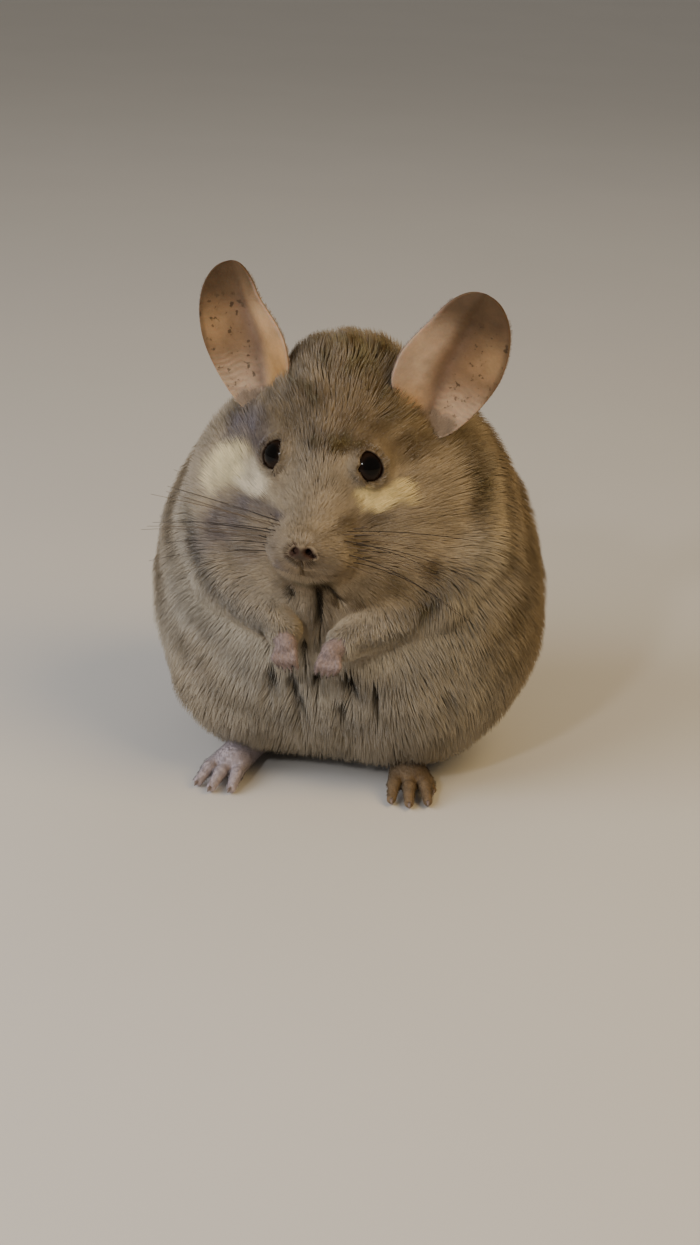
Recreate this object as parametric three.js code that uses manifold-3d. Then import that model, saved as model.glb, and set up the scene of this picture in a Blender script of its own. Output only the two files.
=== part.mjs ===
// A grey-brown chinchilla sitting up on its haunches, life size, as a still museum model.
// Millimetres, +Z up. The animal faces -Y and its own left side is +X.
import * as THREE from "three";
import { mergeVertices } from "three/addons/utils/BufferGeometryUtils.js";
import Module from "manifold-3d";

const wasm = await Module();
wasm.setup();

// Driving dimensions
const GAP = 0.3;
const BODY_WIDTH = 154;
const BODY_DEPTH = 136;
const BODY_HEIGHT = 144;
const HEAD_AT = [-2.5, -50, 132];
const HEAD_TURN = 6;
const EYE_RADIUS = 7.2;
const EYE_SPREAD = 12.9;
const EYE_SINK = 4.2;
const LID_RADIUS = 6.7;
const LID_THICKNESS = 1.2;
const MOUTH_WIDTH = 17;
const MOUTH_DROP = -37.6;
const EAR_LENGTH = 62;
const EAR_THICKNESS = 1.4;
const FOOT_LENGTH = 62;
const FOOT_WIDTH = 15;
const FOOT_HEIGHT = 12;
const FINGER_RADIUS = 1.3;
const TOE_RADIUS = 2.3;
const TAIL_RADIUS = 13;
const TAIL_ROWS = 8;
const LOCKS_PER_ROW = 6;
const LOCK_LENGTH = 34;
const LOCK_WIDTH = 11;
const LOCK_THICKNESS = 3.4;
const EAR_FOLD = 42;
const NECK_WIDTH = 13;
const BODY_BLEND = 20;
const HEAD_BLEND = 8;
const NECK_BLEND = 12;

// Small vector helpers on plain arrays
const radians = (degrees) => (degrees * Math.PI) / 180;
const add = (a, b) => [a[0] + b[0], a[1] + b[1], a[2] + b[2]];
const minus = (a, b) => [a[0] - b[0], a[1] - b[1], a[2] - b[2]];
const times = (a, k) => [a[0] * k, a[1] * k, a[2] * k];
const dot = (a, b) => a[0] * b[0] + a[1] * b[1] + a[2] * b[2];
const unit = (a) => times(a, 1 / Math.hypot(...a));
const cross = (a, b) => [
  a[1] * b[2] - a[2] * b[1],
  a[2] * b[0] - a[0] * b[2],
  a[0] * b[1] - a[1] * b[0],
];
const mix = (a, b, t) => a + (b - a) * t;
const mixPoints = (a, b, t) => [mix(a[0], b[0], t), mix(a[1], b[1], t), mix(a[2], b[2], t)];
const clamp = (x, low, high) => Math.min(Math.max(x, low), high);
const step = (low, high, x) => {
  const t = clamp((x - low) / (high - low), 0, 1);
  return t * t * (3 - 2 * t);
};

// A repeatable draw between 0 and 1
function seeded(seed) {
  let state = seed;
  return () => {
    state = (state * 16807) % 2147483647;
    return state / 2147483647;
  };
}

// A turned frame, such as the head's own: side to the animal's left, front, and up
function frameAt(at, turn) {
  const front = [-Math.sin(radians(turn)), -Math.cos(radians(turn)), 0];
  const side = [Math.cos(radians(turn)), -Math.sin(radians(turn)), 0];
  const out = (q) => add(at, add(times(side, q[0]), add(times(front, q[1]), [0, 0, q[2]])));
  const into = (p) => {
    const d = minus(p, at);
    return [dot(d, side), dot(d, front), d[2]];
  };
  return { out, into };
}
const head = frameAt(HEAD_AT, HEAD_TURN);
const turned = (x, y, angle) => [
  x * Math.cos(radians(angle)) + y * Math.sin(radians(angle)),
  y * Math.cos(radians(angle)) - x * Math.sin(radians(angle)),
];

// Distance to an ellipsoid or to a tapered rod, near enough for blending: negative inside
function formDistance(form, p) {
  if (form.to) {
    const along = minus(form.to, form.from);
    const t = clamp(dot(minus(p, form.from), along) / dot(along, along), 0, 1);
    return Math.hypot(...minus(p, mixPoints(form.from, form.to, t))) - mix(form.thick[0], form.thick[1], t);
  }
  const q = minus(p, form.at);
  const near = Math.hypot(q[0] / form.size[0], q[1] / form.size[1], q[2] / form.size[2]);
  const steep = Math.hypot(q[0] / form.size[0] ** 2, q[1] / form.size[1] ** 2, q[2] / form.size[2] ** 2);
  return steep > 0 ? (near * (near - 1)) / steep : -Math.min(...form.size);
}
function smoothMin(a, b, k) {
  const h = Math.max(k - Math.abs(a - b), 0) / k;
  return Math.min(a, b) - h * h * k * 0.25;
}
function blended(forms, p, k) {
  return forms.reduce((sum, form) => smoothMin(sum, formDistance(form, p), k), 1000);
}
const mirrored = (form) => {
  const flip = (v) => [-v[0], v[1], v[2]];
  return form.to
    ? [form, { from: flip(form.from), to: flip(form.to), thick: form.thick }]
    : [form, { at: flip(form.at), size: form.size }];
};

// The trunk: a round sitting body, rump, chest, nape and haunches
const TRUNK_FORMS = [
  { at: [-2, 8, 76.5], size: [BODY_WIDTH / 2, BODY_DEPTH / 2, BODY_HEIGHT / 2] },
  { at: [0, 34, 42], size: [48, 42, 43] },
  { at: [0, -18, 85], size: [42, 32, 33] },
  { at: [0, -18, 38], size: [38, 35, 32] },
  { at: [-1, -6, 118], size: [54, 46, 38] },
  ...mirrored({ at: [32, -8, 41], size: [35, 50, 38] }),
  { at: [40, 4, 57], size: [33.5, 45, 35] },
  { at: [-40, 4, 57], size: [28, 45, 33] },
];
// The arms, folded up in front of the chest
const LEFT_ARM = [
  { from: [46, -24, 96], to: [40, -41, 82.5], thick: [16, 10.5] },
  { from: [40, -41, 82.5], to: [11.5, -64.5, 67], thick: [10.5, 6.8] },
];
const RIGHT_ARM = [
  { from: [-46, -24, 96], to: [-40, -42, 82], thick: [16, 10.5] },
  { from: [-40, -42, 82], to: [-12, -66.5, 69.5], thick: [10.5, 6.6] },
];
// The head, in its own frame from the point midway between the eyes: side, front, up
const HEAD_FORMS = [
  { at: [0, -28, 12], size: [30, 31, 32] },
  { at: [0, -10, 0], size: [15, 20, 22] },
  { from: [0, -4, -12], to: [0, 13, -29.5], thick: [14.5, 9] },
  { at: [0, 21, -28.5], size: [4.6, 3.6, 3.6] },
  { at: [0, 8, -38.5], size: [8, 9, 6.5] },
  { at: [0, -16, -34], size: [23, 18, 18] },
  ...mirrored({ at: [16, -21, -17], size: [17, 20, 20] }),
  ...mirrored({ at: [7.6, 12.5, -31.5], size: [8.2, 8.5, 7.4] }),
];
const trunk = (p) => blended(TRUNK_FORMS, p, BODY_BLEND);
const arms = (p) => blended([...LEFT_ARM, ...RIGHT_ARM], p, 6);
const body = (p) => smoothMin(trunk(p), arms(p), 8);
const skull = (p) => blended(HEAD_FORMS, head.into(p), HEAD_BLEND);
const animal = (p) => smoothMin(body(p), skull(p), NECK_BLEND);

// A closed surface as a solid, its faces turned outwards, with every corner moved by a rule
function moved(geometry, rule) {
  const bare = geometry.index ? geometry.toNonIndexed() : geometry.clone();
  bare.deleteAttribute("normal");
  bare.deleteAttribute("uv");
  const whole = mergeVertices(bare, 1e-4);
  const places = whole.attributes.position;
  for (let i = 0; i < places.count; i += 1) {
    places.setXYZ(i, ...rule([places.getX(i), places.getY(i), places.getZ(i)]));
  }
  const vertProperties = new Float32Array(places.array);
  const corners = Array.from(whole.index.array);
  const made = (order) => {
    const triVerts = new Uint32Array(order);
    return new wasm.Manifold(new wasm.Mesh({ numProp: 3, vertProperties, triVerts }));
  };
  const first = made(corners);
  return first.volume() > 0 ? first : made(corners.reverse());
}
const solid = (geometry) => moved(geometry, (p) => p);
// A fine ball whose vertices run out from a centre to a form's surface
function grown(field, centre, detail, level = 0, pull = [0, 0, 0]) {
  return moved(new THREE.IcosahedronGeometry(1, detail), (p) => {
    const way = unit(add(unit(p), pull));
    let reach = 0;
    for (let i = 0; i < 60; i += 1) {
      const rest = level - field(add(centre, times(way, reach)));
      reach += rest * 0.9;
      if (Math.abs(rest) < 0.01) break;
    }
    return add(centre, times(way, reach));
  });
}
function ball(centre, size, across = 16, around = 12) {
  return moved(new THREE.SphereGeometry(1, across, around), (p) => [
    centre[0] + p[0] * size[0],
    centre[1] + p[1] * size[1],
    centre[2] + p[2] * size[2],
  ]);
}
// A tapered rod with round ends, as a ball stretched between two points
function rod(from, to, thickFrom, thickTo, sides = 8, rings = 6) {
  const way = unit(minus(to, from));
  const right = unit(cross(way, Math.abs(way[2]) < 0.9 ? [0, 0, 1] : [1, 0, 0]));
  const up = cross(right, way);
  return moved(new THREE.SphereGeometry(1, sides, rings), ([x, y, z]) => {
    const far = y > 0.01;
    const thick = far ? thickTo : thickFrom;
    const seat = y > 0.01 ? to : y < -0.01 ? from : mixPoints(from, to, 0.5);
    const wide = Math.abs(y) > 0.01 ? thick : (thickFrom + thickTo) / 2;
    return add(seat, add(times(way, y * thick), add(times(right, x * wide), times(up, z * wide))));
  });
}
const joined = (solids) => solids.reduce((sum, one) => sum.add(one));
const largest = (whole) => {
  const pieces = whole.decompose();
  return pieces.reduce((best, one) => (one.volume() > best.volume() ? one : best));
};

// Everything stays above the floor
const above = (z) => moved(new THREE.BoxGeometry(800, 800, 400), (p) => [p[0], p[1], p[2] + 200 + z]);
const floorCut = above(0);

// Regions that part the animal where its parts are named
const HEAD_REGION = { at: [0, -9, -2], size: [42, 52, 52] };
const regionSolid = (region, extra) => {
  const size = region.size.map((r) => r + extra);
  return moved(new THREE.IcosahedronGeometry(1, 3), (p) => {
    const d = unit(p);
    return head.out(add(region.at, [d[0] * size[0], -d[1] * size[1], d[2] * size[2]]));
  });
};
const outward = (p, far) => {
  const way = unit([p[0], p[1] - 8, 0]);
  return add(p, times(way, far));
};
function armRegion(forms, extra) {
  const raised = forms.map(({ from, to, thick }) => ({
    from: outward(from, 10),
    to: outward(to, 10),
    thick: thick.map((r) => r + 2),
  }));
  return grown((p) => blended(raised, p, 6), raised[0].to, 3, extra);
}
const haunchRegion = (side, extra) =>
  moved(new THREE.IcosahedronGeometry(1, 2), (p) => {
    const d = unit(p);
    return [side * 56 + d[0] * (36 + extra), -6 + d[1] * (52 + extra), 36 + d[2] * (38 + extra)];
  });

// Feet: a long sole with three toes and a small outer one
const FEET = [
  { name: "foot_left", side: 1, tip: [39, -60, 0], splay: -12 },
  { name: "foot_right", side: -1, tip: [-38, -68, 0], splay: 9 },
];
function soleSolid(foot, extra) {
  const frame = frameAt(foot.tip, foot.splay);
  const heel = frame.out([0, 8 - FOOT_LENGTH, FOOT_HEIGHT / 2]);
  const pad = frame.out([0, -22, FOOT_HEIGHT / 2 - 0.5]);
  const sole = rod(heel, pad, FOOT_WIDTH * 0.44 + extra, FOOT_WIDTH / 2 + extra, 10, 8);
  return sole.intersect(above(-extra));
}
function footSolid(foot) {
  const frame = frameAt(foot.tip, foot.splay);
  const toes = [
    { root: -4.4, tip: -7, reach: -3.5, thick: TOE_RADIUS },
    { root: 0, tip: -0.3, reach: -0.5, thick: TOE_RADIUS },
    { root: 4.4, tip: 7, reach: -3, thick: TOE_RADIUS },
    { root: foot.side * 5.5, tip: foot.side * 9.5, reach: -15, thick: TOE_RADIUS * 0.8 },
  ].map(({ root, tip, reach, thick }) => {
    const from = frame.out([root, -24, FOOT_HEIGHT / 2 - 0.5]);
    const to = frame.out([tip, reach - thick, thick - 0.3]);
    return rod(from, to, thick + 1, thick, 6, 6);
  });
  return joined([soleSolid(foot, 0), ...toes]).intersect(floorCut);
}

// Hands: a small palm and four curled fingers
const HANDS = [
  { name: "hand_left", side: 1, wrist: [11.5, -66, 67.5], palm: [7.4, -71, 65.2] },
  { name: "hand_right", side: -1, wrist: [-12.5, -68, 69.2], palm: [-9, -73, 66.8] },
];
const wristSolid = (hand, extra) => rod(hand.wrist, hand.palm, 3.6 + extra, 4.1 + extra, 9, 6);
function handSolid(hand) {
  const fingers = [-1.5, -0.5, 0.5, 1.5].map((place) => {
    const across = place * 2.2;
    const root = add(hand.palm, [across * 0.8, -2, -2]);
    const tip = add(hand.palm, [across - hand.side * 1.5, -3, -8.2 + Math.abs(place) * 0.8]);
    return rod(root, tip, FINGER_RADIUS * 1.15, FINGER_RADIUS * 0.9, 6, 5);
  });
  return joined([wristSolid(hand, 0), ...fingers]);
}

// Ears: a tall outer blade and a lower inner lobe that fold into a cup
const EARS = [
  { name: "ear_left", side: 1, base: [31.5, -25, 12], lean: 18, tip: 4, turn: 2, taper: 6 },
  { name: "ear_right", side: -1, base: [33, -25, 12], lean: 11, tip: 4, turn: 0, taper: 13 },
];
function earPoint(s, w, taper) {
  const round = Math.sqrt(Math.max(4 * s * (1 - s), 0));
  const outer = round * mix(16, 19, step(0, 0.6, s));
  const inner = round * (mix(14, 24, step(0, 0.35, s)) - taper * step(0.5, 0.8, s));
  const curl = Math.sqrt(w * w + 0.01) - 0.1;
  const fold = radians(EAR_FOLD) * (1 - 0.6 * step(0.5, 1, s));
  const side = w > 0 ? w * outer : w * inner * Math.cos(fold);
  const cup = w > 0 ? curl * curl * 0.22 * outer : curl * inner * Math.sin(fold);
  return [side + 3 * step(0.3, 1, s), cup - 3 * round, s * EAR_LENGTH - 6];
}
function earSolid(ear, extra) {
  return moved(new THREE.SphereGeometry(1, 22, 13), ([x, y, z]) => {
    const ring = Math.hypot(x, z);
    const s = (1 + y) / 2;
    const w = ring > 1e-6 ? x / ring : 0;
    const face = ring > 1e-6 ? z / ring : 0;
    const calm = clamp(s, 0.03, 0.97);
    const sheet = (up, across) => earPoint(up, across, ear.taper);
    const along = minus(sheet(calm + 0.01, w), sheet(calm - 0.01, w));
    const over = minus(sheet(calm, Math.min(w + 0.02, 1)), sheet(calm, Math.max(w - 0.02, -1)));
    const normal = unit(cross(over, along));
    const half = EAR_THICKNESS / 2 + extra;
    const thick = half * Math.sign(face) * Math.abs(face) ** 0.4 * Math.min(1, ring * 2.5);
    const spot = add(sheet(s, w), times(normal, thick));
    const [open, forward] = turned(spot[0], spot[1], ear.turn);
    const [away, high] = turned(open, spot[2], ear.lean);
    const [tall, ahead] = turned(high, forward, -ear.tip);
    return head.out([ear.side * (ear.base[0] + away), ear.base[1] + ahead, ear.base[2] + tall]);
  });
}

// Eyes and the lids round them
function eyeSeat(side) {
  const inner = head.out([0, -12, -1.5]);
  const look = unit(minus(head.out([side * EYE_SPREAD, -2.5, 0]), inner));
  let reach = 0;
  while (animal(add(inner, times(look, reach))) < 0) reach += 0.1;
  const spot = add(inner, times(look, reach));
  const way = unit(
    [0, 1, 2].map((axis) => {
      const nudge = [0, 1, 2].map((other) => (other === axis ? 2 : 0));
      return animal(add(spot, nudge)) - animal(minus(spot, nudge));
    }),
  );
  return { at: minus(spot, times(way, EYE_SINK)), way };
}
const SEATS = { 1: eyeSeat(1), [-1]: eyeSeat(-1) };
function lidSolid(side) {
  const { at, way } = SEATS[side];
  const right = unit(cross(way, [0, 0, 1]));
  const up = cross(right, way);
  return moved(new THREE.TorusGeometry(LID_RADIUS, LID_THICKNESS, 5, 16), ([x, y, z]) =>
    add(at, add(times(way, z + EYE_SINK - 0.2), add(times(right, x * 0.86), times(up, y)))),
  );
}

// Nostrils and the line of the mouth, cut into the muzzle
function nostrilSolid(side) {
  return rod(head.out([side * 2.6, 25.5, -28.5]), head.out([side * 4.2, 19, -29.5]), 1.1, 1.3, 7, 6);
}
function mouthSolid() {
  const points = [-1, -0.6, -0.25, 0, 0.25, 0.6, 1].map((place) => {
    const across = place * MOUTH_WIDTH * 0.5;
    const drop = MOUTH_DROP + Math.abs(place) * 1.2;
    let reach = 30;
    while (animal(head.out([across, reach, drop])) > -0.4 && reach > 0) reach -= 0.25;
    return new THREE.Vector3(...head.out([across, reach, drop]));
  });
  const section = new THREE.Shape().absarc(0, 0, 0.8, 0, Math.PI * 2);
  const settings = {
    steps: 14,
    curveSegments: 3,
    bevelEnabled: false,
    extrudePath: new THREE.CatmullRomCurve3(points),
  };
  return solid(new THREE.ExtrudeGeometry(section, settings));
}

// The short cleft from the nose down to the mouth
const cleftSolid = () => rod(head.out([0, 24.5, -32]), head.out([0, 22, MOUTH_DROP]), 0.7, 0.7, 6, 5);

// The tail, laid on the floor behind in three lengths
const TAIL_PATH = new THREE.CatmullRomCurve3(
  [
    [4, 58, 17],
    [10, 84, 14],
    [6, 112, 12.5],
    [-10, 138, 12],
    [-30, 156, 12],
  ].map((p) => new THREE.Vector3(...p)),
);
const TAIL_CUTS = [0.36, 0.68];
const tailCore = (t) => TAIL_RADIUS * 0.66 * mix(1, 0.8, t);
function tailFrame(t) {
  const at = TAIL_PATH.getPointAt(t).toArray();
  const way = TAIL_PATH.getTangentAt(t).toArray();
  const right = unit(cross(way, [0, 0, 1]));
  return { at, way, right, up: cross(right, way) };
}
function tailCoreSolid(extra) {
  return moved(new THREE.SphereGeometry(1, 10, 14), ([x, y, z]) => {
    const t = Math.acos(-clamp(y, -1, 1)) / Math.PI;
    const { at, right, up } = tailFrame(t);
    const ring = Math.hypot(x, z);
    const full = Math.min(1, ring * 3) * (tailCore(t) + extra);
    const wide = ring > 1e-6 ? full / ring : 0;
    return add(at, add(times(right, x * wide), times(up, z * wide)));
  });
}
// One flat tapered lock of the tail's long hair, its root sunk in the core and its tip lifted
function tailLock(t, angle, size) {
  const length = TAIL_PATH.getLength();
  const end = t + (LOCK_LENGTH * size) / length;
  const past = Math.max(end - 1, 0) * length;
  const stations = [0, 1, 2, 3, 4].map((i) => tailFrame(mix(t, Math.min(end, 1), i / 4)));
  return moved(new THREE.SphereGeometry(1, 5, 4), ([x, y, z]) => {
    const s = Math.acos(-clamp(y, -1, 1)) / Math.PI;
    const { at, way, right, up } = stations[Math.round(s * 4)];
    const out = add(times(right, Math.cos(angle)), times(up, Math.sin(angle)));
    const sunk = tailCore(t) - LOCK_THICKNESS * 0.9;
    const rise = mix(sunk, TAIL_RADIUS - 0.5, s ** 0.8) + z * LOCK_THICKNESS * 0.5;
    const middle = add(add(at, times(way, past * s)), times(out, rise));
    return add(middle, times(cross(out, way), x * LOCK_WIDTH * 0.5 * mix(1.2, 0.75, s)));
  });
}
function wholeTail() {
  let whole = tailCoreSolid(0);
  const draw = seeded(11);
  for (let row = 0; row < TAIL_ROWS; row += 1) {
    const t = mix(0.12, 0.93, row / (TAIL_ROWS - 1));
    for (let i = 0; i < LOCKS_PER_ROW; i += 1) {
      const turn = (i + (row % 2) / 2 + (draw() - 0.5) * 0.3) / LOCKS_PER_ROW;
      const angle = turn * Math.PI * 2;
      if (Math.sin(angle) > -0.8) whole = whole.add(tailLock(t, angle, mix(0.85, 1.15, draw())));
    }
  }
  return whole.intersect(floorCut);
}
// A block that keeps what lies past a cut across the tail, or before it
function tailPart(t, side) {
  const { at, way, right, up } = tailFrame(t);
  return moved(new THREE.BoxGeometry(400, 400, 400), ([x, y, z]) =>
    add(at, add(times(way, side * (y + 200 + GAP / 2)), add(times(right, x), times(up, z)))),
  );
}

// The parted animal
const pieces = new Map();
const shell = grown(animal, [0, 4, 80], 10).intersect(floorCut);
const faceWay = minus(head.out([0, 1, -0.6]), HEAD_AT);
const front = grown(animal, head.out([0, -12, -6]), 10, 0, times(faceWay, 0.4));
const ears = EARS.map((ear) => ({ name: ear.name, whole: earSolid(ear, 0), room: earSolid(ear, GAP) }));
const eyes = [
  { name: "eye_left", side: 1 },
  { name: "eye_right", side: -1 },
];
let headSolid = front.intersect(regionSolid(HEAD_REGION, 0));
eyes.forEach((eye) => {
  headSolid = headSolid.add(lidSolid(eye.side));
});
eyes.forEach((eye) => {
  const size = EYE_RADIUS + GAP;
  headSolid = headSolid.subtract(ball(SEATS[eye.side].at, [size, size, size], 14, 10));
  headSolid = headSolid.subtract(nostrilSolid(eye.side));
});
headSolid = headSolid.subtract(mouthSolid()).subtract(cleftSolid());
let rest = shell.subtract(regionSolid(HEAD_REGION, GAP));
ears.forEach((ear) => {
  headSolid = headSolid.subtract(ear.room);
  rest = rest.subtract(ear.room);
  pieces.set(ear.name, ear.whole);
});
eyes.forEach((eye) => {
  pieces.set(eye.name, ball(SEATS[eye.side].at, [EYE_RADIUS, EYE_RADIUS, EYE_RADIUS], 14, 10));
});
pieces.set("head", headSolid);
HANDS.forEach((hand) => {
  pieces.set(hand.name, handSolid(hand));
  rest = rest.subtract(wristSolid(hand, GAP));
});
FEET.forEach((foot) => {
  pieces.set(foot.name, footSolid(foot));
  rest = rest.subtract(soleSolid(foot, GAP));
});
pieces.set("neck", rest.intersect(regionSolid(HEAD_REGION, NECK_WIDTH)));
rest = rest.subtract(regionSolid(HEAD_REGION, NECK_WIDTH + GAP));
[
  ["arm_left", LEFT_ARM],
  ["arm_right", RIGHT_ARM],
].forEach(([name, forms]) => {
  pieces.set(name, rest.intersect(armRegion(forms, 0)));
  rest = rest.subtract(armRegion(forms, GAP));
});
[
  ["haunch_left", 1],
  ["haunch_right", -1],
].forEach(([name, side]) => {
  pieces.set(name, rest.intersect(haunchRegion(side, 0)));
  rest = rest.subtract(haunchRegion(side, GAP));
});
const tail = wholeTail();
const [firstCut, secondCut] = TAIL_CUTS;
const tailRoom = tailCoreSolid(GAP);
pieces.set("tail_base", tail.intersect(tailPart(firstCut, -1)));
pieces.set("tail_middle", tail.intersect(tailPart(firstCut, 1)).intersect(tailPart(secondCut, -1)));
pieces.set("tail_tip", tail.intersect(tailPart(secondCut, 1)));
pieces.set("torso", rest.subtract(tailRoom));

// Materials by the part's own look
const FUR = { color: 0x6b5a44, roughness: 0.95, metalness: 0 };
const LOOKS = {
  ear: { color: 0xb98d68, roughness: 0.7, metalness: 0 },
  eye: { color: 0x120a05, roughness: 0.08, metalness: 0 },
  hand: { color: 0xb59b90, roughness: 0.8, metalness: 0 },
  foot: { color: 0xa8958f, roughness: 0.8, metalness: 0 },
};

// The exported group, centred on the floor under the animal
const root = new THREE.Group();
pieces.forEach((piece, name) => {
  const mesh = largest(piece).getMesh();
  const geometry = new THREE.BufferGeometry();
  geometry.setAttribute("position", new THREE.BufferAttribute(mesh.vertProperties, 3));
  geometry.setIndex(new THREE.BufferAttribute(mesh.triVerts, 1));
  const look = LOOKS[name.split("_")[0]] ?? FUR;
  const item = new THREE.Mesh(geometry, new THREE.MeshStandardMaterial(look));
  item.name = name;
  root.add(item);
});
const extent = new THREE.Box3().setFromObject(root);
root.position.set(-(extent.min.x + extent.max.x) / 2, -(extent.min.y + extent.max.y) / 2, -extent.min.z);

export default root;
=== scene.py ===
"""A grey-brown chinchilla sitting up on its haunches: skin, eyes, ears, claws, whiskers and coat."""

import math

import bmesh
import bpy
import numpy as np
from mathutils import Matrix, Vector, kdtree


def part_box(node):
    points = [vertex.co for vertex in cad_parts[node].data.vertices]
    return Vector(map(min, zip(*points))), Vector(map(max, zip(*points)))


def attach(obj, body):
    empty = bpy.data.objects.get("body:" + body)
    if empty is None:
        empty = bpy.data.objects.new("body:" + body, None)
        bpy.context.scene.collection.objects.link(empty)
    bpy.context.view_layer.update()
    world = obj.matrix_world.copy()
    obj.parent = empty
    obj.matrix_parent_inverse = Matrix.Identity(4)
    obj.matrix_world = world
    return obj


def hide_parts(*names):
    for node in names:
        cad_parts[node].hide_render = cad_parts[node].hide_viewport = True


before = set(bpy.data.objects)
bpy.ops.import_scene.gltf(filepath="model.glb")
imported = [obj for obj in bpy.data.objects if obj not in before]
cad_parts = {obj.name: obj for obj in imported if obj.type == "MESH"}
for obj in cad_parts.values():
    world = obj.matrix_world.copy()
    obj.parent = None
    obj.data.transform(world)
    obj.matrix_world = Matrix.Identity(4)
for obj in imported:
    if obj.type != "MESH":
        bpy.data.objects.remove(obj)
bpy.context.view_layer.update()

# Sizes below are millimetres in the model's own frame: the animal faces -Y, its left side is +X.
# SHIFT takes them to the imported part, whose origin is on the floor under its middle.
MM = 0.001
UPWARD = (0.0, 0.0, 1.0)
DRAW = np.random.default_rng(7)

# Head, eyes and mouth. The head's own frame has its middle at HEAD_AT
HEAD_AT = np.array((-2.5, -50.0, 132.0))
HEAD_TURN = math.radians(6)
NOSE_TIP = np.array((0.0, 24.0, -29.0))
MOUTH_WIDTH = 17.0
MOUTH_DROP = -37.6
CLEFT_TOP = -32.5
EYE_RADIUS = 7.2
EYE_SPREAD = 12.9
EYE_SINK = 4.2
EYE_OPENING = (4.3, 5.6)
EYE_LEAN = 15
EYE_RINGS = 33
EYE_TURNS = 48
LID_THICKNESS = 0.9

# Ears
EAR_LENGTH = 62.0
EAR_FOLD = math.radians(42)
EAR_THICKNESS = 1.3
EAR_RINGS = 150
EAR_TURNS = 120

# Feet, hands and tail
FOOT_LENGTH = 62.0
FOOT_WIDTH = 15.0
FOOT_HEIGHT = 12.0
TOE_RADIUS = 2.3
FINGER_RADIUS = 1.3
TAIL_RADIUS = 13.0
TAIL_CORE = 6.0
TAIL_BONE = 118.0
TAIL_HAIR_END = 138.0

# How wide the seams between joined forms are
BODY_BLEND = 20.0
HEAD_BLEND = 8.0
NECK_BLEND = 12.0

# Depth of the coat over the skin, and the tufts' least height over the floor
BODY_COAT = 7.5
HEAD_COAT = 3.2
FACE_COAT = 0.9
LID_COAT = 0.5
WRIST_COAT = 1.2
FLOOR_GAP = 0.25

# Grid steps of the surfaces that are grown from fields
SKIN_STEP = 2.0
HAND_STEP = 0.6
FOOT_STEP = 0.9
TAIL_STEP = 1.5
SMOOTHINGS = 2

# Painted shade deep in the coat: how light the skin under the coat and the roots of the tufts are, as
# shares of the coat's colour
SKIN_SHADE_UNDER_COAT = 0.9
ROOT_SHADE = 0.93


def array(values):
    return np.array(values, dtype=float)


def size_of(v):
    """The length of each vector."""
    return np.linalg.norm(v, axis=-1)


def unit(v):
    return v / np.maximum(np.linalg.norm(v, axis=-1, keepdims=True), 1e-9)


def mix(a, b, t):
    return a + (b - a) * t


def step(low, high, x):
    """A soft rise from 0 at low to 1 at high."""
    t = np.clip((x - low) / (high - low), 0, 1)
    return t * t * (3 - 2 * t)


def bell(x, middle, width):
    """1 at the middle, falling softly to both sides."""
    return np.exp(-(((x - middle) / width) ** 2))


def turned(x, y, degrees):
    """A place in a plane whose axes are turned by an angle."""
    angle = math.radians(degrees)
    return x * math.cos(angle) + y * math.sin(angle), y * math.cos(angle) - x * math.sin(angle)


class Turned:
    """A turned frame, such as the head's own: side to the animal's left, front, and up."""

    def __init__(self, at, angle):
        self.at = array(at)
        front = (-math.sin(angle), -math.cos(angle), 0)
        side = (math.cos(angle), -math.sin(angle), 0)
        self.axes = array((side, front, UPWARD))

    def out(self, q):
        """From this frame to the model's."""
        return self.at + array(q) @ self.axes

    def into(self, p):
        """From the model's frame to this one."""
        return (p - self.at) @ self.axes.T


head = Turned(HEAD_AT, HEAD_TURN)


# The body's forms, as in the solids
def ball(at, size):
    return {"at": array(at), "size": array(size)}


def rod(start, end, thick):
    return {"from": array(start), "to": array(end), "thick": thick}


def mirrored(at, size):
    return [ball(at, size), ball((-at[0], at[1], at[2]), size)]


TRUNK = [
    ball((-2, 8, 76.5), (77, 68, 72)),
    ball((0, 34, 42), (48, 42, 43)),
    ball((0, -18, 85), (42, 32, 33)),
    ball((0, -18, 38), (38, 35, 32)),
    ball((-1, -6, 118), (54, 46, 38)),
    *mirrored((32, -8, 41), (35, 50, 38)),
    ball((40, 4, 57), (33.5, 45, 35)),
    ball((-40, 4, 57), (28, 45, 33)),
]
ARMS = {
    1: [
        rod((46, -24, 96), (40, -41, 82.5), (16, 10.5)),
        rod((40, -41, 82.5), (11.5, -64.5, 67), (10.5, 6.8)),
    ],
    -1: [
        rod((-46, -24, 96), (-40, -42, 82), (16, 10.5)),
        rod((-40, -42, 82), (-12, -66.5, 69.5), (10.5, 6.6)),
    ],
}
HEAD = [
    ball((0, -28, 12), (30, 31, 32)),
    ball((0, -10, 0), (15, 20, 22)),
    rod((0, -4, -12), (0, 13, -29.5), (14.5, 9)),
    ball((0, 21, -28.5), (4.6, 3.6, 3.6)),
    ball((0, 8, -38.5), (8, 9, 6.5)),
    ball((0, -16, -34), (23, 18, 18)),
    *mirrored((16, -21, -17), (17, 20, 20)),
    *mirrored((7.6, 12.5, -31.5), (8.2, 8.5, 7.4)),
]
# Wrist and palm of each hand, and the frame of each foot
HANDS = {1: ((11.5, -66, 67.5), (7.4, -71, 65.2)), -1: ((-12.5, -68, 69.2), (-9, -73, 66.8))}
FEET = {1: Turned((39, -60, 0), math.radians(-12)), -1: Turned((-38, -68, 0), math.radians(9))}
TAIL_POINTS = [(4, 58, 17), (10, 84, 14), (6, 112, 12.5), (-10, 138, 12), (-30, 156, 12)]


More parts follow.
